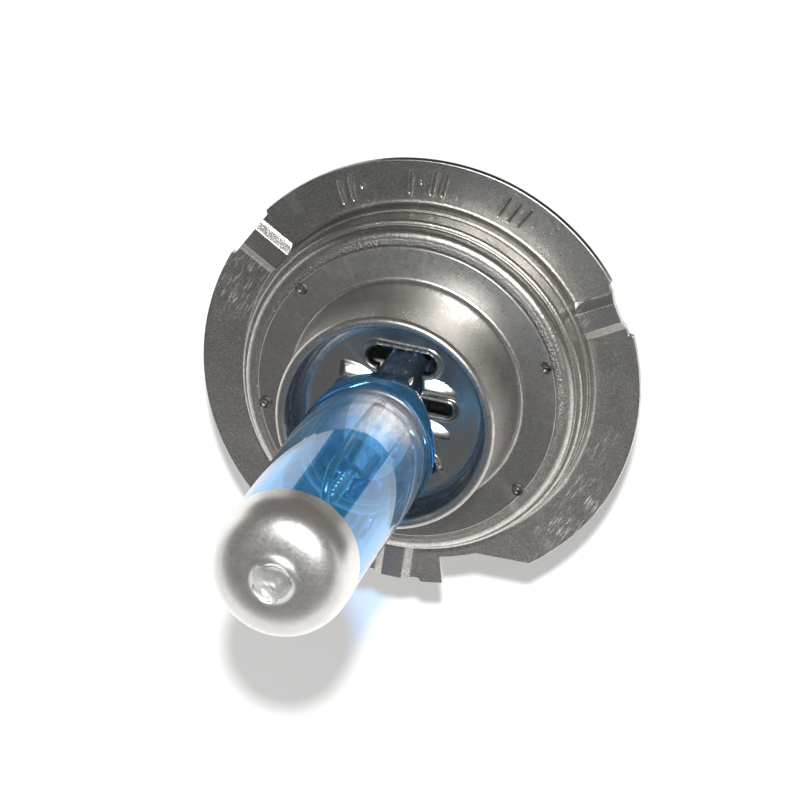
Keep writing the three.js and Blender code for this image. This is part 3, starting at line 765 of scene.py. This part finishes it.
def flange_ring():
    face = collar_section(0, 34)
    back = collar_section(FLANGE_SHEET, 12)
    edge = EDGE_ROUND
    # Rows: inner cut edge, face outward, rounded rim, back inward.
    rows = [(face[0] + (0, -edge), "fixed")]
    rows += [(p, "face") for p in face[:-1]]
    rim = ((-edge, 0), (-0.3 * edge, -0.3 * edge), (0, -edge))
    rows += [(face[-1] + shift, "face") for shift in rim]
    rows += [(back[-1] + shift, "back") for shift in ((0, edge), (-edge, 0))]
    rows += [(p, "back") for p in back[-2:0:-1]]
    rows.append((back[0] + (0.02, 0), "fixed"))

    columns = ring_columns()
    points = np.zeros((len(rows), len(columns), 3))
    foot_angle = math.degrees(math.asin(BOSS_FOOT_HALF / FLANGE_RADIUS))
    for j, azimuth in enumerate(columns):
        away = boss_offset(azimuth)
        stretch = (rim_radius(azimuth) - FLAT_START) / (FLANGE_RADIUS - FLAT_START)
        across_rim = FLANGE_RADIUS * math.sin(math.radians(away))
        for i, ((r, z), side) in enumerate(rows):
            if r > FLAT_START:
                r = FLAT_START + (r - FLAT_START) * stretch
            # Columns over a boss keep their distance from its middle line.
            if abs(away) <= foot_angle:
                turned = math.degrees(math.asin(np.clip(across_rim / r, -1, 1))) - away
            else:
                spread = math.degrees(math.asin(BOSS_FOOT_HALF / r)) - foot_angle
                fade = max(0.0, 1 - (abs(away) - foot_angle) / BOSS_FADE)
                turned = math.copysign(spread * fade, away)
            angle = math.radians(azimuth + turned)
            across = r * math.sin(math.radians(away + turned))
            if side != "fixed" and r > COLLAR_RADIUS:
                base = FLANGE_Z if side == "face" else FLANGE_Z - FLANGE_SHEET
                lifted = base - FLANGE_Z * boss_height(across)
                if z < base + BOSS_REACH and boss_height(across) > 0:
                    blended = float(smooth_max(z, lifted, 0.06))
                    z = blended if r < FLAT_START else lifted
            points[i, j] = (r * math.cos(angle), r * math.sin(angle), z)
    on_flat = points[..., 2] > FLANGE_Z - 0.05
    points[..., 2] += np.where(on_flat, stamp_height(points[..., 0], points[..., 1]), 0)
    points = points.reshape(-1, 3)
    points += wavy(points, 0.012)
    faces = grid_faces(len(rows), len(columns), wrap_rows=True, flip=True)
    add_piece("flange_ring_pressed", points, faces, STAMPED, ["flange_ring"])


flange_ring()

# ------------------------------------------------------------------ sleeve, can and weld spots


def drawn_sheet(node, corners, steps, thickness, sides):
    """A deep-drawn sheet turned about the axis, from the corners of its outer face."""
    outline = sheet_outline(rounded(corners, steps=steps), thickness, edge=0.08)
    revolve_piece(f"{node}_drawn", outline, sides, SLEEVE, [node], 0.01)


def base_sleeve():
    corners = [
        (SLEEVE_MOUTH_RADIUS, SLEEVE_TOP_Z - 0.75, 0),
        (SLEEVE_MOUTH_RADIUS, SLEEVE_TOP_Z, 0.4),
        (SLEEVE_WALL_RADIUS, SLEEVE_TOP_Z, 0.4),
        (SLEEVE_FOOT_RADIUS, SLEEVE_FLANGE_Z, 0.4),
        (SLEEVE_FLANGE_RADIUS, SLEEVE_FLANGE_Z, 0),
    ]
    drawn_sheet("base_sleeve", corners, 8, SLEEVE_SHEET * 0.8, 240)


base_sleeve()


def rear_can():
    corners = [
        (SLEEVE_FLANGE_RADIUS, CAN_FLANGE_Z, 0),
        (CAN_RADIUS, CAN_FLANGE_Z, 0.4),
        (CAN_RADIUS, CAN_BOTTOM_Z, 0.7),
        (CAN_LIP_RADIUS, CAN_BOTTOM_Z, 0),
    ]
    drawn_sheet("rear_can", corners, 7, SLEEVE_SHEET, 192)


rear_can()


def weld_spots():
    top = SLEEVE_FLANGE_Z + 0.02
    corners = [
        (0.001, PLATE_Z + 0.05, 0),
        (WELD_STEM, PLATE_Z + 0.05, 0),
        (WELD_STEM, top, 0),
        (0.5, top + 0.01, 0.03),
        (0.43, top + 0.11, 0.04),
        (0.26, top + 0.10, 0.05),
        (0.16, top + 0.02, 0.05),
        (0.06, top + 0.05, 0.03),
        (0.001, top + 0.06, 0),
    ]
    outline = rounded(corners, steps=3)
    for i, azimuth in enumerate(WELD_AZIMUTHS):
        points, faces = revolve(outline, 32, closed=False)
        points[:, :2] += WELD_CIRCLE * ray(azimuth)
        points += wavy(points, 0.02, 0.5)
        node = f"weld_spot_{i + 1}"
        add_piece(f"weld_nugget_{i + 1}", points, faces, WELD, [node], sharp_angle=60)


weld_spots()

# ------------------------------------------------------------------ clamp plate


def slot_distance(x, y):
    """Distances from a point to the nearest punched opening and to the nearest slot."""
    ax = abs(x)
    middle = (UPPER_SLOT_Y + LOWER_SLOT_Y) / 2
    dx = ax - GAP_HALF_WIDTH
    dy = abs(y - middle) - (UPPER_SLOT_Y - LOWER_SLOT_Y) / 2
    gap = math.hypot(max(dx, 0), max(dy, 0)) + min(max(dx, dy), 0)
    upper = math.hypot(ax - min(ax, UPPER_SLOT_HALF), y - UPPER_SLOT_Y) - END_SLOT_RADIUS
    lower = math.hypot(ax - min(ax, LOWER_SLOT_HALF), y - LOWER_SLOT_Y) - END_SLOT_RADIUS
    side_x = min(max(ax, GAP_HALF_WIDTH), SIDE_SLOT_END)
    side = math.hypot(ax - side_x, y - SIDE_SLOT_Y) - SIDE_SLOT_RADIUS
    return min(gap, upper, lower, side), min(upper, lower, side)


def rib_height(x, y, rib_y):
    """Height of a pressed rib: a broad face sloping to +Y and +X, with short steep faces round it."""
    across = y - rib_y
    along = x - RIB_START if x > 0 else x + RIB_END
    face = RIB_CREST - RIB_FALL * along - RIB_FACE * (across + RIB_HALF_WIDTH / 2)
    face -= RIB_CURVE[0] * (along - (RIB_END - RIB_START) / 2) ** 2 + RIB_CURVE[1] * across**2
    from_end = min(abs(x) - RIB_START, RIB_END - abs(x)) + 0.3
    side = RIB_SIDE * min(RIB_HALF_WIDTH - abs(across), from_end)
    return max(0.0, float(smooth_min(face, side, 0.25)))


def edge_distance(x, y):
    return slot_distance(x, y)[0]


def clamp_height(x, y):
    """Height of the plate's face above its floor: ribs, lips round the slots, rolled edges."""
    edge, to_slot = slot_distance(x, y)
    rib = max(rib_height(x, y, SIDE_SLOT_Y + side * RIB_OFFSET) for side in (-1, 1))
    lip = LIP_HEIGHT * math.exp(-(((to_slot - LIP_OFFSET) / LIP_WIDTH) ** 2))
    rolled = 0.14
    drop = 0.0
    if edge < rolled:
        drop = rolled - math.sqrt(max(0.0, rolled**2 - (rolled - max(edge, 0.0)) ** 2))
    return max(rib, lip) - drop


def cell_corners(cells):
    """The grid points that are a corner of any marked cell."""
    corners = np.zeros((len(cells) + 1, cells.shape[1]), bool)
    for marked in (cells, np.roll(cells, 1, axis=1)):
        corners[:-1] |= marked
        corners[1:] |= marked
    return corners


def clamp_plate():
    sides = 320
    spacing = 0.1
    corners = [
        (CLAMP_HUB_RADIUS, CLAMP_Z, 0),
        (CLAMP_FLOOR_RADIUS, CLAMP_Z, 1.1),
        (CLAMP_WALL_RADIUS, CLAMP_WALL_Z, 0),
    ]
    profile = rounded(corners, steps=8)
    floor = np.arange(CLAMP_HUB_RADIUS, profile[1][0], spacing)
    profile = np.vstack([np.stack([floor, np.full(len(floor), CLAMP_Z)], axis=1), profile[1:]])
    back = profile + right_normals(profile) * CLAMP_SHEET
    angles = np.linspace(0, 2 * math.pi, sides, endpoint=False)

    x = profile[:, :1] * np.cos(angles)
    y = profile[:, :1] * np.sin(angles)
    distance = np.vectorize(edge_distance)(x, y)
    cell = np.maximum(spacing, profile[:, :1] * 2 * math.pi / sides)
    keep = distance > -0.5 * cell

    solid = keep & np.roll(keep, -1, axis=1)
    solid = solid[:-1] & solid[1:]
    used = cell_corners(solid)
    border = used & cell_corners(~solid) & (distance < 0.6)

    # Points on the staircase border move onto the punched outline.
    step = 0.01
    for i, j in zip(*np.nonzero(border)):
        px, py = x[i, j], y[i, j]
        for _ in range(3):
            d = edge_distance(px, py)
            gx = (edge_distance(px + step, py) - edge_distance(px - step, py)) / (2 * step)
            gy = (edge_distance(px, py + step) - edge_distance(px, py - step)) / (2 * step)
            size = max(gx * gx + gy * gy, 0.25)
            px -= d * gx / size
            py -= d * gy / size
        x[i, j], y[i, j] = px, py

    lift = np.vectorize(clamp_height)(x, y)
    lift[profile[:, 0] > CLAMP_PLAIN_RADIUS] = 0
    top = np.stack([x, y, profile[:, 1:] + lift], axis=-1)
    grow = back[:, :1] / profile[:, :1]
    under = np.stack([x * grow, y * grow, back[:, 1:] + np.maximum(lift, 0) * 0.9], axis=-1)

    index = np.full(x.shape, -1)
    index[used] = np.arange(used.sum())
    count = int(used.sum())
    points = np.vstack([top[used], under[used]])
    faces = []
    edges = {}
    for i, j in zip(*np.nonzero(solid)):
        k = (j + 1) % sides
        a, b, c, d = index[i, j], index[i, k], index[i + 1, k], index[i + 1, j]
        faces.append((a, d, c, b))
        faces.append((a + count, b + count, c + count, d + count))
        edges.update(dict.fromkeys(((a, d), (d, c), (c, b), (b, a))))
    faces += [(b, a, a + count, b + count) for a, b in edges if (b, a) not in edges]
    add_piece("clamp_plate_pressed", points, faces, SPRING, ["clamp_plate"], sharp_angle=50)


clamp_plate()

# ------------------------------------------------------------------ glass


GLASS_SIDES = 112


def superellipse_ring(half_x, half_y, exponent, z):
    angles = np.linspace(0, 2 * math.pi, GLASS_SIDES, endpoint=False)
    c, s = np.cos(angles), np.sin(angles)
    x = half_x * np.sign(c) * np.abs(c) ** (2 / exponent)
    y = half_y * np.sign(s) * np.abs(s) ** (2 / exponent)
    return np.stack([x, y, np.full(GLASS_SIDES, z)], axis=1)


def dome_profile(radius, height, base_z, steps=26, flare=0.0):
    """(radius, z) from the dome's edge to near its pole, rising a little to the exhaust tip."""
    power = 2 / DOME_EXPONENT
    profile = []
    for i in range(1, steps + 1):
        t = math.pi / 2 * i / steps
        r = radius * math.cos(t) ** power if i < steps else 0.02
        z = base_z + height * math.sin(t) ** power
        profile.append((r, z + flare * math.exp(-(((r - FLARE_RADIUS) / FLARE_WIDTH) ** 2))))
    return profile


def tube_and_dome(radius, height, heights):
    """Round rings up the tube and over its dome."""
    profile = [(radius, z) for z in heights] + dome_profile(radius, height, DOME_Z)
    return [superellipse_ring(r, r, 2, z) for r, z in profile]


def blend(start, end, t):
    return start + (end - start) * t


def envelope_outer():
    rings = []
    for inset, rise in ((0.25, 0), (0.07, 0.08)):
        half_x, half_y = PINCH_HALF_THICKNESS - inset, PINCH_HALF_WIDTH - inset
        rings.append(superellipse_ring(half_x, half_y, PINCH_EXPONENT, PINCH_BOTTOM_Z + rise))
    tube_z = SHOULDER_Z + 1
    pinch = np.linspace(PINCH_BOTTOM_Z + 0.25, PINCH_TOP_Z, 24)
    for z in np.concatenate([pinch, np.linspace(PINCH_TOP_Z, tube_z, 44)[1:]]):
        t = float(smoothstep(z, PINCH_TOP_Z, SHOULDER_Z))
        half_x = blend(PINCH_HALF_THICKNESS, GLASS_RADIUS, t)
        half_y = blend(PINCH_HALF_WIDTH, GLASS_RADIUS, t)
        rings.append(superellipse_ring(half_x, half_y, blend(PINCH_EXPONENT, 2, t), z))
    heights = np.linspace(tube_z, DOME_Z, 30)[1:]
    return loft(rings + tube_and_dome(GLASS_RADIUS, DOME_HEIGHT, heights))


def envelope_inner():
    inner = GLASS_RADIUS - GLASS_WALL
    rings = [superellipse_ring(0.25, 2.6, 2, CAVITY_FLOOR_Z - 0.05)]
    for z in np.linspace(CAVITY_FLOOR_Z, CAVITY_FULL_Z, 30):
        t = math.sin(math.pi / 2 * (z - CAVITY_FLOOR_Z) / (CAVITY_FULL_Z - CAVITY_FLOOR_Z))
        half_x, half_y = blend(CAVITY_HALF_X, inner, t), blend(CAVITY_HALF_Y, inner, t)
        rings.append(superellipse_ring(half_x, half_y, 2, z))
    heights = np.linspace(CAVITY_FULL_Z, DOME_Z, 24)[1:]
    points, faces = loft(rings + tube_and_dome(inner, DOME_HEIGHT - GLASS_WALL, heights))
    return points, [face[::-1] for face in faces]


def glass_envelope():
    outer, outer_faces = envelope_outer()
    inner, inner_faces = envelope_inner()
    points = np.vstack([outer, inner])
    faces = outer_faces + [tuple(i + len(outer) for i in face) for face in inner_faces]
    nodes = ["glass_envelope"]
    inside = [INNER_GLASS, FUSED_GLASS]
    piece = add_piece("glass_envelope_fused", points, faces, BLUE_GLASS, nodes, 0, inside)
    for polygon in piece.data.polygons[len(outer_faces) :]:
        polygon.material_index = 2 if polygon.center.z < FUSED_Z * MM else 1


glass_envelope()


def tip_coating():
    """The silver film: a thin cap over the dome, flaring up round the root of the exhaust tip."""

    def skin(lift, flare):
        edge = [(GLASS_RADIUS + lift, COATING_EDGE_Z), (GLASS_RADIUS + lift, DOME_Z)]
        return edge + dome_profile(GLASS_RADIUS + lift, DOME_HEIGHT + lift, DOME_Z, steps=44, flare=flare)

    outer = [p for p in skin(COATING_LIFT + COATING_THICKNESS, FLARE_HEIGHT) if p[0] > TIP_ROOT_RADIUS]
    outer += [(TIP_ROOT_RADIUS + 0.02, COATING_TOP_Z), (0.02, COATING_TOP_Z)]
    outline = outer + skin(COATING_LIFT, 0.0)[::-1]
    revolve_piece("tip_coating_sprayed", outline, 192, SILVER, ["tip_coating"], 0.008)


tip_coating()


def exhaust_tip():
    """The clear fused stub: a crinkled, slightly lopsided knob where the tube was pinched off."""
    foot = COATING_TOP_Z + 0.02
    corners = [
        (0.001, foot, 0),
        (1.28, foot, 0.1),
        (1.30, foot + 0.45, 0.3),
        (1.52, foot + 0.85, 0.35),
        (1.2, foot + 1.45, 0.45),
        (0.6, foot + 1.62, 0.3),
        (0.22, foot + 1.35, 0.1),
        (0.001, foot + 1.25, 0),
    ]
    outline = rounded(corners, steps=10)
    points, faces = revolve(outline, 96, closed=False)
    angle = np.arctan2(points[:, 1], points[:, 0])
    height = smoothstep(points[:, 2], foot + 0.2, foot + 0.9)
    crinkle = 0.07 * np.sin(3 * angle + 0.7) + 0.05 * np.sin(5 * angle + 2.0)
    crinkle += 0.025 * np.sin(9 * angle)
    points[:, :2] *= (0.97 + (crinkle - 0.03) * height)[:, None]
    points[:, 2] -= 0.08 * height * (1 + np.sin(2 * angle + 0.9))
    points[:, 2] = np.minimum(points[:, 2], TIP_TOP_Z - 0.02)
    add_piece("exhaust_tip_fused", points, faces, CLEAR_GLASS, ["exhaust_tip"], sharp_angle=0)


exhaust_tip()

# ------------------------------------------------------------------ filament, leads and foils


FILAMENT_HALF = FILAMENT_LENGTH / 2 + FILAMENT_TAIL


def filament():
    path = []
    count = FILAMENT_TURNS * 20
    for i in range(count + 1):
        along = 2 * FILAMENT_HALF * i / count
        inside = min(max((along - FILAMENT_TAIL) / FILAMENT_LENGTH, 0), 1)
        radius = COIL_RADIUS * float(smoothstep(inside, 0, 0.04) * smoothstep(1 - inside, 0, 0.04))
        c, s = ray(360 * FILAMENT_TURNS * inside)
        path.append((radius * c, radius * s, FILAMENT_Z - FILAMENT_HALF + along))
    points, faces = tube(path, FILAMENT_WIRE, 8)
    add_piece("filament_coil", points, faces, TUNGSTEN, ["filament"], sharp_angle=0)


filament()


def wire(node, route):
    points, faces = tube(catmull(route, 12), LEAD_RADIUS, 20)
    add_piece(f"{node}_wire", points, faces, MOLYBDENUM, [node])


def leads():
    short = [
        (0, -LEAD_Y, FOIL_HIGH),
        (0, -LEAD_Y, 14),
        (0, -LEAD_Y + 0.2, 16.5),
        (0, -1.2, 19.2),
        (0, -0.2, 20.9),
        (0, 0, FILAMENT_Z - FILAMENT_HALF + 0.1),
    ]
    long = [
        (0, LEAD_Y, FOIL_HIGH),
        (0, LEAD_Y, 14),
        (0, LEAD_Y + 0.3, 18),
        (0, LEAD_Y + 0.3, 25),
        (0, LEAD_Y + 0.1, 28.2),
        (0, 1.4, 29.6),
        (0, 0.3, 29.2),
        (0, 0, FILAMENT_Z + FILAMENT_HALF - 0.1),
    ]
    wire("short_lead", short)
    wire("long_lead", long)


leads()


def foils_and_outer_leads():
    half, edge, middle = FOIL_WIDTH / 2, 0.02, 0.035
    section = [(edge, -half), (middle, 0), (edge, half), (-edge, half), (-middle, 0), (-edge, -half)]
    rows = 24
    for name, side in (("left", 1), ("right", -1)):
        y = side * LEAD_Y
        points = []
        for i in range(rows + 1):
            z = FOIL_LOW + (FOIL_HIGH - FOIL_LOW) * i / rows
            ripple = 0.03 * math.sin(i * 1.1)
            for x, across in section:
                points.append((x + ripple, y + across, z))
        faces = grid_faces(rows + 1, 6)
        faces.append((5, 4, 3, 2, 1, 0))
        faces.append(tuple(rows * 6 + k for k in range(6)))
        node = f"foil_{name}"
        add_piece(f"{node}_ribbon", points, faces, MOLYBDENUM, [node], sharp_angle=40)

        weld_y = side * (BLADE_Y - BLADE_THICKNESS / 2 - LEAD_RADIUS)
        route = [
            (0, y, FOIL_LOW),
            (0, y, 1.8),
            (0, y + side * 0.1, 1.2),
            (0, weld_y - side * 0.1, 0.2),
            (0, weld_y, -0.4),
            (0, weld_y, -2.0),
        ]
        wire(f"outer_lead_{name}", route)


foils_and_outer_leads()

# ------------------------------------------------------------------ insulator and blades


def evaluated_mesh(thing):
    graph = bpy.context.evaluated_depsgraph_get()
    return bpy.data.meshes.new_from_object(thing.evaluated_get(graph))


def apply_modifiers(piece):
    mesh = evaluated_mesh(piece)
    piece.modifiers.clear()
    piece.data = mesh


def insulator():
    """A stepped ceramic disc with a chimney-shaped slot round each blade."""
    corners = [
        (0.001, INSULATOR_BOSS_Z, 0),
        (INSULATOR_BOSS_RADIUS, INSULATOR_BOSS_Z, 0.4),
        (INSULATOR_BOSS_RADIUS, INSULATOR_LOW_Z, 0),
        (INSULATOR_RADIUS - 0.5, INSULATOR_LOW_Z, 0),
        (INSULATOR_RADIUS, INSULATOR_LOW_Z + 0.5, 0),
        (INSULATOR_RADIUS, INSULATOR_TOP_Z, 0.2),
        (0.001, INSULATOR_TOP_Z, 0),
    ]
    outline = rounded(corners, steps=5)
    points, faces = revolve(outline, 144, closed=False)
    piece = add_piece("insulator_body", points, faces, CERAMIC, ["insulator"], sharp_angle=40)
    half_x, half_y = BLADE_WIDTH / 2 + SLOT_CLEARANCE, BLADE_THICKNESS / 2 + SLOT_CLEARANCE
    for side in (-1, 1):
        low, high = side * BLADE_Y - half_y, side * BLADE_Y + half_y
        shape = [(-half_x, low), (half_x, low), (half_x, high), (-half_x, high)]
        ends = (INSULATOR_BOSS_Z - 1, INSULATOR_TOP_Z + 1)
        box = [(px, py, z) for z in ends for px, py in shape]
        sides = [(3, 2, 1, 0), (4, 5, 6, 7), (0, 1, 5, 4), (1, 2, 6, 5), (2, 3, 7, 6), (3, 0, 4, 7)]
        cutter = mesh_object("slot_cutter", box, sides)
        modifier = piece.modifiers.new("slot", "BOOLEAN")
        modifier.operation = "DIFFERENCE"
        modifier.solver = "EXACT"
        modifier.object = cutter
        apply_modifiers(piece)
        bpy.data.objects.remove(cutter)
    modifier = piece.modifiers.new("edges", "BEVEL")
    modifier.width = 0.06 * MM
    modifier.segments = 2
    modifier.limit_method = "ANGLE"
    modifier.angle_limit = math.radians(50)
    apply_modifiers(piece)


insulator()


def terminal_blade(name, side):
    """A stamped 6.3 mm tab: chamfered tip, detent hole, coined edges."""
    half, tab = BLADE_WIDTH / 2, BLADE_TAB_WIDTH / 2
    half_tip, chamfer_z = half - BLADE_CHAMFER[0], BLADE_TIP_Z + BLADE_CHAMFER[1]
    right_side = [
        (half_tip, BLADE_TIP_Z, 0.15),
        (half, chamfer_z, 0.3),
        (half, INSULATOR_TOP_Z, 0.1),
        (tab, INSULATOR_TOP_Z, 0.2),
        (tab, BLADE_TAB_Z, 0.3),
    ]
    left_side = [(-x, z, fillet) for x, z, fillet in reversed(right_side)]
    outline = rounded(left_side[-1:] + right_side + left_side[:-1], steps=4, closed=True)
    curve = bpy.data.curves.new(name, "CURVE")
    curve.dimensions = "2D"
    curve.fill_mode = "BOTH"
    angles = np.linspace(0, 2 * math.pi, 40, endpoint=False)
    hole = BLADE_DETENT_RADIUS * np.stack([np.cos(angles), np.sin(angles)], axis=1)
    for loop in (outline, hole + (0, BLADE_DETENT_Z)):
        spline = curve.splines.new("POLY")
        spline.points.add(len(loop) - 1)
        corners = np.column_stack([loop * MM, np.zeros(len(loop)), np.ones(len(loop))])
        spline.points.foreach_set("co", corners.ravel())
        spline.use_cyclic_u = True
    curve.extrude = (BLADE_THICKNESS / 2 - BLADE_EDGE) * MM
    curve.bevel_depth = BLADE_EDGE * MM
    curve.bevel_resolution = 3
    curve.offset = -BLADE_EDGE * MM
    holder = linked(name, curve)
    mesh = evaluated_mesh(holder)
    bpy.data.objects.remove(holder)
    upright = Matrix.Rotation(math.pi / 2, 4, "X")
    mesh.transform(Matrix.Translation((0, side * BLADE_Y * MM, 0)) @ upright)
    mesh.name = f"{name}_tab"
    as_piece(linked(mesh.name, mesh), [BLADE], [name], 40)


terminal_blade("terminal_blade_left", 1)
terminal_blade("terminal_blade_right", -1)

# ------------------------------------------------------------------ floor, light and camera


def stage_card(name, outline, colour, roughness, specular, seen):
    """A flat card under or beside the object. One that isn't seen shows only as a reflection."""
    n = Nodes(name)
    n.surface({"Base Color": rgb(*colour), "Roughness": roughness, "Specular IOR Level": specular})
    card = mesh_object(name, outline, [tuple(range(len(outline)))])
    card.data.materials.append(n.material)
    if not seen:
        card.visible_camera = False
        card.visible_diffuse = False
        card.visible_shadow = False


FLOOR_HALF = 4000
corners = [(x * FLOOR_HALF, y * FLOOR_HALF, FLOOR_Z) for x, y in ((-1, -1), (1, -1), (1, 1), (-1, 1))]
stage_card("floor", corners, (0.86, 0.86, 0.86), 0.85, 0.2, seen=True)

CAMERA_AZIMUTH = 64.5
CAMERA_ELEVATION = 65.78
CAMERA_ROLL = 54.5  # image angle of the uphill direction, from the image's right
CAMERA_DISTANCE = 630.0
VIEW_WIDTH = 58.737  # how much of the target's plane the camera takes in, in mm
TARGET = Vector((0, 0, FLANGE_Z))
TARGET_OFFSET = (1.488, 1.960)  # how far right of and above the middle of the view the target is


def camera_axes():
    """Right, up and back of the camera, from its azimuth, elevation and roll."""
    a, e, roll = (math.radians(v) for v in (CAMERA_AZIMUTH, CAMERA_ELEVATION, CAMERA_ROLL))
    level = Vector((math.cos(a), math.sin(a), 0))
    sideways = Vector((-math.sin(a), math.cos(a), 0))
    back = level * math.cos(e) + Vector((0, 0, math.sin(e)))
    uphill = level * math.sin(e) - Vector((0, 0, math.cos(e)))
    right = uphill * math.cos(roll) - sideways * math.sin(roll)
    up = uphill * math.sin(roll) + sideways * math.cos(roll)
    return right, up, back


def add_camera():
    right, up, back = camera_axes()
    data = bpy.data.cameras.new("camera")
    camera = linked("camera", data)
    place = TARGET - right * TARGET_OFFSET[0] - up * TARGET_OFFSET[1] + back * CAMERA_DISTANCE
    rotation = Matrix((right, up, back)).transposed().to_4x4()
    camera.matrix_world = Matrix.Translation(place * MM) @ rotation
    data.sensor_width = 36
    data.lens = CAMERA_DISTANCE / VIEW_WIDTH * data.sensor_width
    data.clip_start = 0.02
    data.clip_end = 20
    scene.camera = camera


add_camera()


FLASH_RISE = math.radians(5.7)  # above the camera, as seen from the bulb
FLASH_DISTANCE = 1100
FLASH_SIZE = 42
FLASH_POWER = 12.5


def add_flash():
    """A small warm-white flash just above the lens, as on a hand-held camera."""
    _, up, back = camera_axes()
    direction = (back * math.cos(FLASH_RISE) + up * math.sin(FLASH_RISE)).normalized()
    data = bpy.data.lights.new("key", "AREA")
    data.shape = "DISK"
    data.size = FLASH_SIZE * MM
    data.energy = FLASH_POWER
    data.color = (1.0, 0.99, 0.975)
    light = linked("key", data)
    turned = direction.to_track_quat("Z", "Y").to_matrix().to_4x4()
    light.matrix_world = Matrix.Translation(direction * FLASH_DISTANCE * MM) @ turned


add_flash()


def add_flag(name, start, end, inner, outer, colour):
    """A dark card low beside the bulb, between two azimuths and two radii."""
    rays = [ray(azimuth) for azimuth in np.linspace(start, end, 24)]
    near = [(*(inner * r), FLOOR_Z + 1) for r in rays]
    far = [(*(outer * r), FLOOR_Z + 1) for r in rays]
    stage_card(name, near + far[::-1], colour, 1.0, 0.0, seen=False)


add_flag("flag_near", 31.5, 121.5, 18, 33, (0.02, 0.02, 0.02))
add_flag("flag_far", 5, 150, 33, FLOOR_HALF, (0.11, 0.10, 0.095))


# The bright part of the surroundings: its azimuth, and the sine of its height towards and across it.
GLOW_AZIMUTH = 275
GLOW_HEIGHT = 0.25
GLOW_SWING = 0.42
GLOW_LEVEL = 1.1
DIM_LEVEL = 0.16
FILL_LEVEL = 0.74


def add_world():
    """A pale studio. In reflections one low side of it is bright and the rest is dim."""
    world = bpy.data.worlds.new("studio")
    world.cycles.sampling_method = "NONE"
    scene.world = world
    n = Tree(world)
    direction = n.node("ShaderNodeTexCoord", {})["Generated"]
    towards = (*ray(GLOW_AZIMUTH), 0)
    facing = n.node("ShaderNodeVectorMath", {0: direction, 1: towards}, operation="DOT_PRODUCT")["Value"]
    top = n.math("MULTIPLY_ADD", facing, GLOW_SWING, GLOW_HEIGHT)
    below = n.math("SUBTRACT", top, n.node("ShaderNodeSeparateXYZ", {0: direction})[2])
    reflected = n.remap(below, -0.1, 0.1, DIM_LEVEL, GLOW_LEVEL, interpolation_type="SMOOTHSTEP")

    # The floor and the backdrop get plain even light.
    path = n.node("ShaderNodeLightPath", {})
    plain = n.math("MAXIMUM", path["Is Camera Ray"], path["Is Diffuse Ray"])
    background = n.nodes["Background"]
    n.put(background.inputs[0], (1.0, 0.99, 0.98, 1))
    n.put(background.inputs[1], n.node("ShaderNodeMix", {0: plain, 2: reflected, 3: FILL_LEVEL})[0])


add_world()

scene.view_settings.view_transform = "Standard"
scene.view_settings.look = "None"
scene.cycles.use_denoising = True
scene.cycles.max_bounces = 24
scene.cycles.transmission_bounces = 20
scene.cycles.transparent_max_bounces = 24
scene.cycles.caustics_reflective = False
scene.cycles.caustics_refractive = False
scene.cycles.sample_clamp_indirect = 8.0
